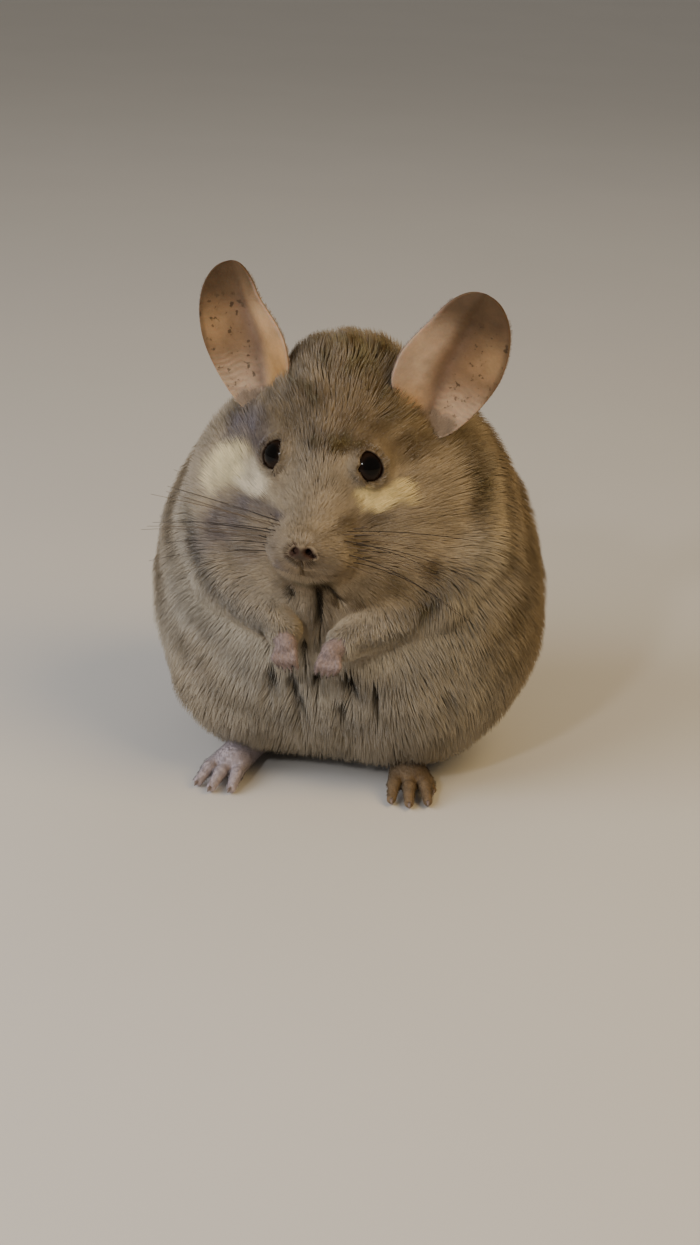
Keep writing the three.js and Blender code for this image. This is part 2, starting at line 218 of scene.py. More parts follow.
def form_distance(form, p):
    """About how far p is outside a ball or rod, negative inside."""
    if "to" in form:
        along = form["to"] - form["from"]
        t = np.clip((p - form["from"]) @ along / (along @ along), 0, 1)
        far = size_of(p - form["from"] - t[:, None] * along)
        return far - mix(form["thick"][0], form["thick"][1], t)
    q = p - form["at"]
    near = size_of(q / form["size"])
    steep = size_of(q / form["size"] ** 2)
    return near * (near - 1) / np.maximum(steep, 1e-6)


def soft_union(a, b, k):
    """Two fields joined with a rounded seam about k wide."""
    h = np.maximum(k - np.abs(a - b), 0) / k
    return np.minimum(a, b) - h * h * k * 0.25


def soft_cut(a, b, k):
    return -soft_union(-a, b, k)


def blended(forms, p, k):
    total = form_distance(forms[0], p)
    for form in forms[1:]:
        total = soft_union(total, form_distance(form, p), k)
    return total


def animal(p):
    """The whole animal's outline, out to the tips of its coat."""
    trunk = blended(TRUNK, p, BODY_BLEND)
    body = soft_union(trunk, blended(ARMS[1] + ARMS[-1], p, 6), 8)
    return soft_union(body, blended(HEAD, head.into(p), HEAD_BLEND), NECK_BLEND)


def slope(field, p, reach=0.5):
    """Outward direction of a field at each point."""
    nudges = np.eye(3) * reach
    return unit(np.stack([field(p + n) - field(p - n) for n in nudges], axis=-1))


class Eye:
    """An eye's place and its own frame: each ball sits under the surface, found as the solids find it."""

    def __init__(self, side):
        inner = head.out((0, -12, -1.5))
        look = unit(head.out((side * EYE_SPREAD, -2.5, 0)) - inner)
        ways = inner + np.arange(0, 60, 0.1)[:, None] * look
        spot = ways[np.argmax(animal(ways) >= 0)]
        self.side = side
        self.way = slope(animal, spot[None], 2.0)[0]
        self.at = spot - self.way * EYE_SINK
        right = unit(np.cross(self.way, UPWARD))
        self.axes = array((right, np.cross(right, self.way), self.way))

    def into(self, p):
        return (p - self.at) @ self.axes.T


EYES = {side: Eye(side) for side in (1, -1)}
eye_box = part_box("eye_left")
SHIFT = (array(eye_box[0]) + array(eye_box[1])) / 2 / MM - EYES[1].at


def placed(p):
    """Millimetres in the model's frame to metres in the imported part's."""
    return (p + SHIFT) * MM


def eye_distance(p):
    return np.minimum(*(size_of(p - eye.at) for eye in EYES.values()))


def wrist_distance(p):
    return np.minimum(*(size_of(p - array(wrist)) for wrist, _ in HANDS.values()))


def coat_depth(p):
    """How far the coat stands over the skin, thin on the face and round the eyes and paws."""
    far = size_of(head.into(p) - NOSE_TIP)
    depth = mix(FACE_COAT, HEAD_COAT, step(4, 42, far)) + (BODY_COAT - HEAD_COAT) * step(40, 95, far)
    depth = mix(LID_COAT, depth, step(6.5, 17, eye_distance(p)))
    return np.minimum(depth, mix(WRIST_COAT, BODY_COAT, step(4, 36, wrist_distance(p))))


def coat_height(p, seen):
    """The height of the tips over the skin: the coat's depth with its soft waves, partings and folds."""
    waves = 1 + 0.14 * sway(p, 13.0) + 0.08 * mottle(p, 6.0) + 0.12 * ruff(p) - 0.1
    sunk = (1 - 0.7 * parting(seen, 1.3)[0]) * (1 - 0.45 * folded(seen, 4.0))
    return coat_depth(p) * np.minimum(waves, 1.12) * sunk


# The face's own details, as shifts of the surface: lids, nostrils, lips and mouth
NOSTRILS = [
    part
    for side in (1, -1)
    for part in (
        rod((side * 2.0, 26, -28.0), (side * 2.7, 19, -28.8), (1.15, 1.3)),
        rod((side * 2.5, 25.5, -28.8), (side * 5.2, 20, -30.4), (0.8, 0.7)),
    )
]


def mouth_line(across):
    """The height of the line of the mouth, which rises to its corners."""
    return MOUTH_DROP + np.abs(across) / (MOUTH_WIDTH / 2) * 1.2


def face_relief(p):
    """How far the line of the mouth, the lips and the cleft move the surface, inward above 0."""
    q = head.into(p)
    across, front, high = q[:, 0], q[:, 1], q[:, 2]
    beyond = np.maximum(np.abs(across) - MOUTH_WIDTH / 2, 0)
    from_line = high - mouth_line(across)
    ahead = step(2, 8, front)
    groove = 1.1 * np.exp(-(np.hypot(from_line, beyond) / 0.55) ** 2)
    lips = -0.6 * np.exp(-(((np.abs(from_line) - 1.5) / 1.0) ** 2) - (beyond / 1.5) ** 2)
    cleft_height = step(MOUTH_DROP - 0.5, MOUTH_DROP + 1, high)
    cleft_height = cleft_height * (1 - step(CLEFT_TOP, CLEFT_TOP + 1.5, high))
    cleft = 0.9 * np.exp(-((across / 0.5) ** 2)) * cleft_height * step(12, 16, front)
    return ahead * (groove + lips) + cleft


def eye_opening(eye, q):
    """How far each point is from the middle of the eye's opening, as a share of its half width."""
    x, y = turned(q[:, 0], q[:, 1], -EYE_LEAN * eye.side)
    wide, tall = EYE_OPENING
    narrowing = 1 - 0.22 * np.clip(y / tall, -1, 1)
    return np.hypot(x / wide / narrowing, y / tall)


def lidded(p, flesh):
    """Lids that wrap each eyeball, with an almond opening that leans towards the nose."""
    for eye in EYES.values():
        q = eye.into(p)
        lid = size_of(q) - (EYE_RADIUS + LID_THICKNESS)
        rim = (eye_opening(eye, q) - 1) * EYE_OPENING[0]
        opening = np.maximum(rim, 1.0 - q[:, 2])
        flesh = soft_cut(soft_union(flesh, lid, 3.0), opening, 0.7)
    return flesh


def skin_field(p):
    """The skin: the outline set in by the coat's depth, with the face's details, cut flat at the floor."""
    flesh = animal(p) + coat_depth(p) + face_relief(p)
    flesh = lidded(p, flesh)
    flesh = soft_cut(flesh, blended(NOSTRILS, head.into(p), 0.6), 0.8)
    return np.maximum(flesh, 1.0 - p[:, 2])


def hand_field(side):
    """A palm with four short fingers."""
    wrist, palm = HANDS[side]
    forms = [rod(wrist, palm, (3.7, 3.7))]
    for place in (-1.5, -0.5, 0.5, 1.5):
        across = place * 2.3
        root = array(palm) + (across * 0.8, -1.8, -1.6)
        knuckle = array(palm) + (across, -3.8, -4.2)
        tip = array(palm) + (across - side * 1.2, -2.6, -8.4 + abs(place) * 0.8)
        forms.append(rod(root, knuckle, (FINGER_RADIUS * 1.15, FINGER_RADIUS)))
        forms.append(rod(knuckle, tip, (FINGER_RADIUS, 0.8)))
    return lambda p: blended(forms, p, 0.8)


# Toes: side place of root and tip, how far the tip reaches, and size. The outer one is added by side.
TOES = [(-4.4, -7.0, -3.5, 1.0), (0.0, -0.3, -0.5, 1.0), (4.4, 7.0, -3.0, 1.0)]


def foot_forms(side):
    """The forms of a foot and the ends of its toes."""
    foot = FEET[side]
    heel = foot.out((0, 8 - FOOT_LENGTH, FOOT_HEIGHT / 2))
    pad = foot.out((0, -22, FOOT_HEIGHT / 2 - 0.6))
    forms = [rod(heel, pad, (FOOT_WIDTH * 0.42, FOOT_WIDTH * 0.44))]
    tips = []
    for root, tip, reach, size in [*TOES, (side * 5.5, side * 9.5, -15, 0.8)]:
        thick = TOE_RADIUS * size
        start = foot.out((root, -24, FOOT_HEIGHT / 2 - 0.5))
        knuckle = foot.out((mix(root, tip, 0.6), mix(-24, reach - thick, 0.6), FOOT_HEIGHT * 0.4 * size))
        end = foot.out((tip, reach - thick, thick * 0.85))
        forms += [rod(start, knuckle, (thick * 1.25, thick)), rod(knuckle, end, (thick, thick * 0.8))]
        tips.append(end)
    return forms, tips


def foot_field(side):
    forms, _ = foot_forms(side)
    return lambda p: np.maximum(blended(forms, p, 1.2), 0.15 - p[:, 2])


def curve_at(points, t):
    """Smooth run through a few points, t from 0 to 1."""
    points = array(points)
    t = np.clip(t, 0, 1) * (len(points) - 1)
    i = np.minimum(t.astype(int), len(points) - 2)
    u = (t - i)[:, None]
    before, start = points[np.maximum(i - 1, 0)], points[i]
    end, after = points[i + 1], points[np.minimum(i + 2, len(points) - 1)]
    bend = (2 * before - 5 * start + 4 * end - after) * u**2 + (3 * (start - end) + after - before) * u**3
    return 0.5 * (2 * start + (end - before) * u + bend)


TAIL_STATIONS = curve_at(TAIL_POINTS, np.linspace(0, 1, 14))
TAIL_RODS = [rod(a, b, (TAIL_CORE, TAIL_CORE)) for a, b in zip(TAIL_STATIONS[:-1], TAIL_STATIONS[1:])]


def tail_field(p):
    return blended(TAIL_RODS, p, 1.0)


def surface(field, low, high, pitch):
    """A closed surface from a field: one corner in each grid cell that the surface crosses."""
    axes = [np.arange(a, b + pitch, pitch) for a, b in zip(low, high)]
    grid = np.stack(np.meshgrid(*axes, indexing="ij"), axis=-1)
    counts = np.array(grid.shape[:3])
    inside = (field(grid.reshape(-1, 3)) < 0).reshape(counts)
    full = np.zeros(counts - 1, int)
    for corner in np.ndindex(2, 2, 2):
        cut = tuple(slice(c, c + n - 1) for c, n in zip(corner, counts))
        full += inside[cut]
    used = (full > 0) & (full < 8)
    index = np.full(used.shape, -1)
    index[used] = np.arange(used.sum())
    points = array(low) + (np.argwhere(used) + 0.5) * pitch
    faces = []
    for axis in range(3):
        one, two = (axis + 1) % 3, (axis + 2) % 3
        ahead = np.take(inside, range(1, counts[axis]), axis)
        behind = np.take(inside, range(counts[axis] - 1), axis)
        for outward in (True, False):
            change = (behind & ~ahead) if outward else (ahead & ~behind)
            spots = np.argwhere(change)
            spots = spots[(spots[:, one] > 0) & (spots[:, two] > 0)]
            spots = spots[(spots[:, one] < counts[one] - 1) & (spots[:, two] < counts[two] - 1)]
            around = []
            for a, b in ((0, 0), (1, 0), (1, 1), (0, 1)):
                cell = spots.copy()
                cell[:, one] -= a
                cell[:, two] -= b
                around.append(index[tuple(cell.T)])
            quads = np.stack(around, axis=1)
            faces.append(quads if outward else quads[:, ::-1])
    faces = np.concatenate(faces)
    for _ in range(SMOOTHINGS):
        points = settled(field, smoothed(points, faces), 1)
    return settled(field, points, 4), faces


def smoothed(points, faces):
    """Points moved towards the middle of their neighbours."""
    total = np.zeros_like(points)
    count = np.zeros(len(points))
    for i in range(faces.shape[1]):
        for j in (i - 1, (i + 1) % faces.shape[1]):
            np.add.at(total, faces[:, i], points[faces[:, j]])
            np.add.at(count, faces[:, i], 1)
    return mix(points, total / np.maximum(count, 1)[:, None], 0.6)


def settled(field, points, rounds):
    """Points moved onto the surface of a field, in a few rounds."""
    for _ in range(rounds):
        here = field(points)
        move = np.clip(here, -1.5, 1.5)[:, None] * slope(field, points, 0.2)
        points = points - move * 0.8
    return points


def mesh_from(name, points, faces, material):
    """A smooth mesh object from points in millimetres and faces with the same number of corners."""
    mesh = bpy.data.meshes.new(name)
    corners = faces.shape[1]
    mesh.vertices.add(len(points))
    mesh.vertices.foreach_set("co", placed(points).ravel())
    mesh.loops.add(faces.size)
    mesh.loops.foreach_set("vertex_index", faces.ravel().astype(np.int32))
    mesh.polygons.add(len(faces))
    mesh.polygons.foreach_set("loop_start", np.arange(0, faces.size, corners, dtype=np.int32))
    mesh.polygons.foreach_set("loop_total", np.full(len(faces), corners, dtype=np.int32))
    mesh.polygons.foreach_set("use_smooth", np.full(len(faces), True))
    mesh.update(calc_edges=True)
    mesh.materials.append(material)
    item = bpy.data.objects.new(name, mesh)
    bpy.context.collection.objects.link(item)
    return item


def paint(item, colours, freckles=1):
    """Colours at each point in linear light, and how freckled it is in the fourth channel."""
    rgba = np.ones((len(colours), 4))
    rgba[:, :3] = colours
    rgba[:, 3] = freckles
    item.data.attributes.new("Markings", "FLOAT_COLOR", "POINT").data.foreach_set("color", rgba.ravel())


# Markings: soft patches of colour, from the eyes, nose and height on the body, some of them painted shade
# and some painted light
class Noise:
    """Smooth seeded noise from -1 to 1."""

    def __init__(self, seed, cells=24):
        self.table = np.random.default_rng(seed).uniform(-1, 1, (cells, cells, cells))
        self.cells = cells

    def __call__(self, p, size):
        q = p / size
        low = np.floor(q).astype(int)
        t = step(0, 1, q - low)
        total = 0
        for corner in np.ndindex(2, 2, 2):
            place = tuple(((low + corner) % self.cells).T)
            weight = np.prod(np.where(corner, t, 1 - t), axis=1)
            total = total + weight * self.table[place]
        return total


# One noise for spots and one for broad waves
mottle = Noise(3)
sway = Noise(5)


def colour(red, green, blue):
    """An sRGB colour of 0 to 255 in linear light."""
    c = array((red, green, blue)) / 255
    return np.where(c > 0.04045, ((c + 0.055) / 1.055) ** 2.4, c / 12.92)


# Colours of the coat and the bare parts, with some painted shade and painted light among them
BACK = colour(108, 90, 68)
CROWN = colour(120, 102, 76)
BELLY = colour(158, 147, 129)
FLANK = colour(136, 118, 93)
FOREHEAD = colour(110, 91, 66)
BRIDGE = colour(160, 140, 112)
MUZZLE = colour(126, 108, 85)
CREAM = colour(244, 218, 152)
PALE = colour(228, 211, 180)
CHEEK = colour(156, 138, 112)
WHEAT = colour(240, 220, 168)
HAZE = colour(124, 116, 117)
# A dark warm olive laid as painted shade on the animal's left side
WARM_SIDE_SHADE = colour(92, 74, 44)
CHIN = colour(98, 92, 72)
SMOKE = colour(94, 84, 84)
# Dark brown of the face's dark marks, also laid as painted shade in folds and grooves, under the chin and
# behind the ear
DARK_MARK_AND_SHADE = colour(66, 50, 31)
NOSE = colour(46, 33, 25)
NOSTRIL = colour(62, 43, 34)
LIP = colour(168, 148, 120)
LID = colour(46, 34, 25)
WHISKER_BED = colour(84, 74, 74)
HAND = colour(146, 127, 121)
# Foot colours by side: the right foot in its own pale pinkish grey, the left foot in a darker, warmer
# painted-shade copy
FOOT_LIT_AND_SHADED = {1: colour(120, 100, 76), -1: colour(178, 164, 166)}
TAIL_SIDE = colour(104, 88, 68)
TAIL_TOP = colour(66, 55, 44)
IRIS = colour(30, 18, 10)
PUPIL = colour(6, 4, 3)
CLAW = colour(118, 104, 98)
WHISKER_BROWN = colour(98, 82, 64)
WHISKER_DARK = colour(40, 30, 24)
EAR_WALL = colour(130, 102, 74)
EAR_ROOT = colour(186, 158, 130)
EAR_LOBE = {1: colour(186, 162, 140), -1: colour(172, 140, 106)}
# Painted light shining through the ear's lobe
EAR_LIGHT_THROUGH = colour(172, 132, 84)
EAR_TIP = colour(78, 60, 42)
# Painted light shining through the thin wall of the cup
EAR_WALL_LIGHT_THROUGH = colour(164, 130, 90)
# Painted shade in the crease between lobe and wall
EAR_CREASE_SHADE = colour(112, 90, 76)
EAR_RIM = colour(176, 152, 138)
EAR_BACK = colour(134, 116, 95)

# Patches on the head, in its own frame: where, how far they reach, colour and strength
HEAD_PATCHES = [
    ((0, -6, 18), (24, 18, 10), FOREHEAD, 0.4),
    ((0, 8, -16), (8, 14, 12), BRIDGE, 0.6),
    ((0, 16, -34), (16, 14, 8), MUZZLE, 0.8),
    ((0, 14, -42), (9, 9, 4), CHIN, 0.7),
    ((-8, 15, -37), (5, 6, 4), HAZE, 0.5),
    ((-14, 15, -28), (6, 8, 8), SMOKE, 0.25),
    # Painted shade along the fold of the brow
    ((1, 7, 10), (8, 7, 4), DARK_MARK_AND_SHADE, 0.6),
    ((9.7, 4.6, 9.4), (7, 7, 3.8), DARK_MARK_AND_SHADE, 0.8),
    ((20, -4, 11), (6, 6, 7), DARK_MARK_AND_SHADE, 0.35),
    ((33, -13, 6), (14, 10, 5), DARK_MARK_AND_SHADE, 0.7),
    ((7.5, 2, 19), (5, 6, 4), DARK_MARK_AND_SHADE, 0.45),
    ((-12, -3, 25), (7, 7, 4), DARK_MARK_AND_SHADE, 0.3),
    ((6.5, -8, 33), (9, 9, 5), DARK_MARK_AND_SHADE, 0.6),
    ((17, -8, 28), (6, 7, 3.5), DARK_MARK_AND_SHADE, 0.45),
    ((-7, -4, 26), (7, 6, 4), DARK_MARK_AND_SHADE, 0.5),
    ((2, -22, 42), (20, 13, 8), DARK_MARK_AND_SHADE, 0.75),
    ((-38, -12, 7), (12, 11, 10), SMOKE, 0.95),
    ((-27, -3, 6), (6, 7, 8), SMOKE, 0.85),
    ((-28, 1, -9.5), (8, 7, 6.5), PALE, 0.95),
    ((-40, -6, -7), (9, 9, 8), WHEAT, 0.85),
    ((-46, -8, -14), (8, 9, 6), WHEAT, 0.6),
    ((-17.5, 7, -14.5), (4, 5, 4), PALE, 0.2),
    ((23.5, 1.5, -11), (9.5, 7, 4.6), CREAM, 1.0),
    ((30.5, -5, -10.5), (5, 6, 3.2), CREAM, 0.7),
    ((-27, 4.5, -20), (8.5, 7, 4.5), WHISKER_BED, 0.8),
    ((-16, 9, -19.5), (5.5, 6, 3.2), WHISKER_BED, 0.8),
    ((-38, 0, -28), (13, 9, 6.5), WHISKER_BED, 0.6),
    ((-30, 5.5, -33), (12, 9, 8), WHISKER_BED, 0.4),
    ((-48, 0, -37), (11, 10, 9), WHISKER_BED, 0.5),
    ((20, 4, -19), (11, 8, 3.2), DARK_MARK_AND_SHADE, 0.6),
    ((12, 11, -20.5), (6, 6, 2.6), DARK_MARK_AND_SHADE, 0.6),
    ((4, 16, -24), (7, 6, 4), DARK_MARK_AND_SHADE, 0.3),
    ((17.5, 8, -26), (9, 7, 3), DARK_MARK_AND_SHADE, 0.35),
    # Painted shadow under the chin and in the cleft of the chest below it
    ((4.8, 14, -46), (3.5, 9, 5), DARK_MARK_AND_SHADE, 0.6),
    ((3.5, 10.5, -57), (3.5, 9, 10), DARK_MARK_AND_SHADE, 0.4),
    ((10, 10, -50), (3.5, 7, 3), DARK_MARK_AND_SHADE, 0.7),
    ((-9, 13, -46), (5, 6, 3), DARK_MARK_AND_SHADE, 0.45),
    ((17.7, 8, -52.6), (3.5, 6, 3), DARK_MARK_AND_SHADE, 0.6),
    ((41, -6, -38), (4, 6, 5), DARK_MARK_AND_SHADE, 0.6),
    ((43, -1.5, -51.7), (4.5, 6, 5), DARK_MARK_AND_SHADE, 0.6),
]
# Patches on the body, in the model's frame
BODY_PATCHES = [
    # Painted shadow behind the head and ear on the animal's left side, over the coat's dark bands there
    ((47, -18, 136), (9, 11, 9), DARK_MARK_AND_SHADE, 0.6),
    ((53, -22, 124), (6, 10, 10), DARK_MARK_AND_SHADE, 0.65),
    ((55, -27, 112), (4.5, 8, 9), DARK_MARK_AND_SHADE, 0.6),
    # Painted warm shade on the chest, flank and belly of the animal's left side
    ((30, -56, 85), (14, 9, 7), WARM_SIDE_SHADE, 0.6),
    ((68, -30, 62), (14, 18, 14), WARM_SIDE_SHADE, 0.55),
    ((36, -48, 32), (26, 20, 22), WARM_SIDE_SHADE, 0.35),
    # Painted shade down the far edge of the left flank
    ((74, 6, 84), (9, 34, 30), DARK_MARK_AND_SHADE, 0.3),
    # Painted shade under the head on the animal's left side
    ((54, -43, 89), (8, 9, 6), DARK_MARK_AND_SHADE, 0.5),
    ((40, -50, 92), (4, 6, 4), DARK_MARK_AND_SHADE, 0.5),
    ((45.5, -38, 114), (2.4, 7, 14), CHEEK, 0.9),
    ((59, -11, 119), (2.4, 8, 9), CHEEK, 0.8),
    ((59, -24, 108), (2.8, 8, 7), CHEEK, 0.7),
    # Painted light on the lower belly of the animal's right side
    ((-50, -45, 38), (20, 18, 18), CHEEK, 0.6),
]
# Folds of the coat along the under edge of each arm, as runs of points
FOLDS = [
    [(-57, -36, 99), (-54, -43, 91), (-43.5, -54.3, 79.7), (-30, -60, 69), (-20, -67, 70)],
    [(48, -48, 93), (44, -52, 85), (38.4, -55.5, 76), (33, -57, 69.5), (24, -63, 67.5), (18, -67.5, 67)],
]
# Where the chest and belly coat parts: across and height, half its length and width, and its slant
PARTINGS = [
    (0.3, 78, 10, 1.3, 0.05),
    (5.2, 84.5, 4, 1.1, 0.75),
    (-11.7, 81.8, 3, 1.3, 0.2),
    (-18.9, 63.5, 5, 1.2, 0.3),
    (-5, 58.6, 4, 0.9, 0),
    (-17.2, 45.5, 4.5, 1.2, 0.3),
    (-7.6, 40, 9, 1.3, 0.3),
    (-0.2, 46.5, 4.5, 1.2, 0),
    (13.1, 45.8, 5, 1.9, 0.35),
    (9.1, 34, 4.2, 1.3, 0.35),
    (23.2, 43, 3.2, 1, 0),
    (48.9, 41.3, 2.5, 0.8, 0),
    (13.2, 19.3, 2.5, 0.7, 0),
]


def patch(p, centre, size, soft=0.5):
    """1 inside an oval about a place, falling softly to 0."""
    return 1 - step(1 - soft, 1 + soft, size_of((p - centre) / array(size)))


def filled(tone, count):
    """One colour or direction for each of many points."""
    return tone * np.ones((count, 3))


def laid(base, top, amount):
    """A colour laid over another, by an amount from 0 to 1 at each point."""
    return mix(base, top, amount[:, None])


def parting(p, spread=1.0):
    """How deep in one of the coat's partings each point is, from 0 to 1, and the way out of it."""
    depth = np.zeros(len(p))
    away = np.zeros(len(p))
    for across, high, tall, wide, slant in PARTINGS:
        off = p[:, 0] - across + slant * (p[:, 2] - high) + 0.5 * sway(p, 7.0)
        here = np.exp(-((off / wide / spread) ** 2) - ((p[:, 2] - high) / tall) ** 4)
        here = here * (p[:, 1] < -35)
        away = np.where(here > depth, np.sign(off), away)
        depth = np.maximum(depth, here)
    return depth, away


def folded(p, width):
    """How deep in a fold of the coat each point is, from 0 to 1."""
    far = np.full(len(p), 1e3)
    for run in FOLDS:
        for a, b in zip(run[:-1], run[1:]):
            far = np.minimum(far, form_distance(rod(a, b, (0, 0)), p))
    return np.exp(-((far / width) ** 2))


def ruff(p):
    """Soft folds of the coat that ring the head, from -1 in a fold to 1 on a crest."""
    far = size_of(p - head.out((0, -14, -18))) + 5 * sway(p, 24.0)
    return np.sin(far * 2 * math.pi / 15) * step(44, 54, far) * (1 - step(84, 104, far))


def three_way(noise, p, apart, size):
    """A noise vector at each point, from three places of one noise."""
    return np.stack([noise(p + apart * i, size) for i in range(3)], axis=1)


def wandered(p, size, reach):
    """Points moved about by soft noise, which gives patches uneven edges."""
    return p + reach * three_way(mottle, p, 31, size)


def patched(shade, p, at, patches, soft):
    """Patches of colour laid over a shade, with an uneven strength."""
    for where, size, tone, strength in patches:
        amount = patch(at, where, size, soft) * strength * (1 + 0.35 * mottle(p, 3.6))
        shade = laid(shade, tone, np.clip(amount, 0, 1))
    return shade


def markings(p, root=None):
    """The coat's colour at points of the body, with painted shade in its partings and folds and painted
    shade and light on the ruff round the head. The face's fine marks may be taken at the roots instead.
    """
    q = wandered(head.into(p), 7.0, 2.6)
    q = wandered(q, 2.6, 1.0)
    shade = laid(filled(BELLY, len(p)), FLANK, step(-25, 30, p[:, 1] + 0.35 * np.abs(p[:, 0])))
    shade = laid(shade, BACK, step(-10, 60, p[:, 1] + 0.5 * (p[:, 2] - 90)))
    in_head = 1 - step(46, 74, size_of(q - (0, -10, -8)))
    of_head = laid(filled(CHEEK, len(p)), CROWN, step(-2, 16, q[:, 2] + 5 * sway(p, 11.0)))
    shade = patched(laid(shade, of_head, in_head), p, q, HEAD_PATCHES, 0.5)
    shade = patched(shade, p, wandered(p, 9.0, 3.0), BODY_PATCHES, 0.7)
    speckle = mottle(p, 8.0) * 0.5 + mottle(p, 3.4) * 0.7 + sway(p, 17.0) * 0.4
    contrast = 0.28 + 0.34 * step(5, 20, q[:, 2])
    # Random mottling, with painted shade in the ruff's folds and painted light on its crests
    mottle_and_ruff_shade = 1 + contrast * speckle + 0.16 * ruff(p)
    # Painted shade in the coat's partings and in its folds along the arms
    hollow_shade = (1 - 0.93 * parting(p, 1.5)[0]) * (1 - 0.5 * folded(p, 3.5))
    shade = shade * (mottle_and_ruff_shade * hollow_shade)[:, None]
    return face_marked(p if root is None else root, shade)


def face_marked(p, shade):
    """The small marks of the face: dark rims of the eyes, nose, nostrils and lips, and painted shade in the
    mouth's groove and the cleft of the upper lip.
    """
    q = head.into(p)
    shade = laid(shade, NOSE, patch(q, NOSE_TIP + (0, 0, -0.4), (5.4, 3.8, 2.8), 0.5) * 0.9)
    shade = laid(shade, NOSTRIL, 1 - step(0.0, 0.9, blended(NOSTRILS, q, 0.6)))
    near_mouth = step(6, 10, q[:, 1]) * (1 - step(MOUTH_WIDTH / 2, MOUTH_WIDTH / 2 + 3, np.abs(q[:, 0])))
    above = q[:, 2] - mouth_line(q[:, 0])
    shade = laid(shade, LIP, bell(above, -1.6, 1.1) * near_mouth * 0.7)
    # Painted shade in the groove of the mouth, then down the cleft of the upper lip
    shade = laid(shade, DARK_MARK_AND_SHADE, bell(above, 0, 0.6) * near_mouth * 0.7)
    cleft = bell(q[:, 0], 0, 0.6) * step(MOUTH_DROP - 1, MOUTH_DROP + 1, q[:, 2])
    cleft = cleft * (1 - step(CLEFT_TOP, CLEFT_TOP + 1.5, q[:, 2]))
    shade = laid(shade, DARK_MARK_AND_SHADE, cleft * step(8, 12, q[:, 1]) * 0.6)
    for eye in EYES.values():
        at = eye.into(p)
        ahead = np.abs(at[:, 2] - 6) < 6
        shade = laid(shade, DARK_MARK_AND_SHADE, (1 - step(1.2, 1.9, eye_opening(eye, at))) * ahead * 0.4)
        shade = laid(shade, LID, (1 - step(1.02, 1.16, eye_opening(eye, at))) * ahead)
    return shade


# Materials
def nodes_of(name, **values):
    """A new material with its node tree and shader, and the shader's values set."""
    material = bpy.data.materials.new(name)
    material.use_nodes = True
    tree = material.node_tree
    shader = tree.nodes["Principled BSDF"]
    for socket, value in values.items():
        shader.inputs[socket.replace("_", " ")].default_value = value
    return material, tree, shader


def node(tree, kind, inputs, operation=None):
    """A new node, whose inputs are numbers or what other nodes give."""
    made = tree.nodes.new("ShaderNode" + kind)
    if operation:
        made.operation = operation
    for socket, value in inputs.items():
        if isinstance(value, bpy.types.NodeSocket):
            tree.links.new(value, made.inputs[socket])
        else:
            made.inputs[socket].default_value = value
    return made


def grain_noise(tree, scale):
    """A noise over the object's own coordinates."""
    place = node(tree, "TexCoord", {}).outputs["Object"]
    return node(tree, "TexNoise", {"Scale": scale, "Detail": 6, "Vector": place}).outputs["Fac"]


def tinted(tree, source, noise, low, high):
    """The source colour, made darker and lighter by noise."""
    span = node(tree, "MapRange", {"To Min": low, "To Max": high, "Value": noise}).outputs["Result"]
    return node(tree, "VectorMath", {0: source, "Scale": span}, "SCALE").outputs["Vector"]


def marked_material(name, grain, low, high, bump_strength, bump_distance, **values):
    """A material that takes its markings from the mesh, with a fine grain of colour and bump."""
    material, tree, shader = nodes_of(name, **values)
    source = node(tree, "Attribute", {})
    source.attribute_name = "Markings"
    noise = grain_noise(tree, grain)
    tree.links.new(tinted(tree, source.outputs["Color"], noise, low, high), shader.inputs["Base Color"])
    bump = node(tree, "Bump", {"Strength": bump_strength, "Distance": bump_distance, "Height": noise})
    tree.links.new(bump.outputs["Normal"], shader.inputs["Normal"])
    return material


def freckled(material, scale, depth):
    """Adds small dark dots where the mesh's fourth channel allows them."""
    tree = material.node_tree
    paint_socket = tree.nodes["Principled BSDF"].inputs["Base Color"]
    plain = paint_socket.links[0].from_socket
    allowed = next(made for made in tree.nodes if made.type == "ATTRIBUTE").outputs["Alpha"]
    noise = grain_noise(tree, scale)
    dots = node(tree, "MapRange", {"From Min": 0.6, "From Max": 0.66, "To Max": depth, "Value": noise})
    amount = node(tree, "Math", {0: dots.outputs["Result"], 1: allowed}, "MULTIPLY")
    lighter = node(tree, "Math", {0: 1, 1: amount.outputs[0]}, "SUBTRACT")
    scaled = node(tree, "VectorMath", {0: plain, "Scale": lighter.outputs[0]}, "SCALE")
    tree.links.new(scaled.outputs["Vector"], paint_socket)


skin_look = marked_material("skin", 1400, 0.75, 1.2, 0.5, 0.0006, Roughness=0.7, Specular_IOR_Level=0.3)
coat_look = marked_material(
    "fur",
    900,
    0.75,
    1.25,
    0.15,
    0.0002,
    Roughness=0.9,
    Specular_IOR_Level=0.1,
    Subsurface_Weight=0.2,
    Subsurface_Scale=0.0015,
    Subsurface_Radius=(1.0, 0.85, 0.7),
)
claw_look = marked_material("claw", 2500, 0.9, 1.1, 0.1, 0.0001, Roughness=0.3)
ear_look = marked_material(
    "ear",
    900,
    0.85,
    1.15,
    0.4,
    0.0005,
    Roughness=0.8,
    Specular_IOR_Level=0.2,
    Subsurface_Weight=0.2,
    Subsurface_Scale=0.002,
)
freckled(ear_look, 420, 0.6)
whisker_look = marked_material("whisker", 2500, 0.8, 1.2, 0.1, 0.0001, Roughness=0.4)
eye_look = marked_material("eye", 400, 0.7, 1.3, 0.02, 0.0001, Roughness=0.12, Specular_IOR_Level=0.16)


def ride(item):
    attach(item, "root")
    return item


def side_name(part, side):
    return part + ("_left" if side > 0 else "_right")


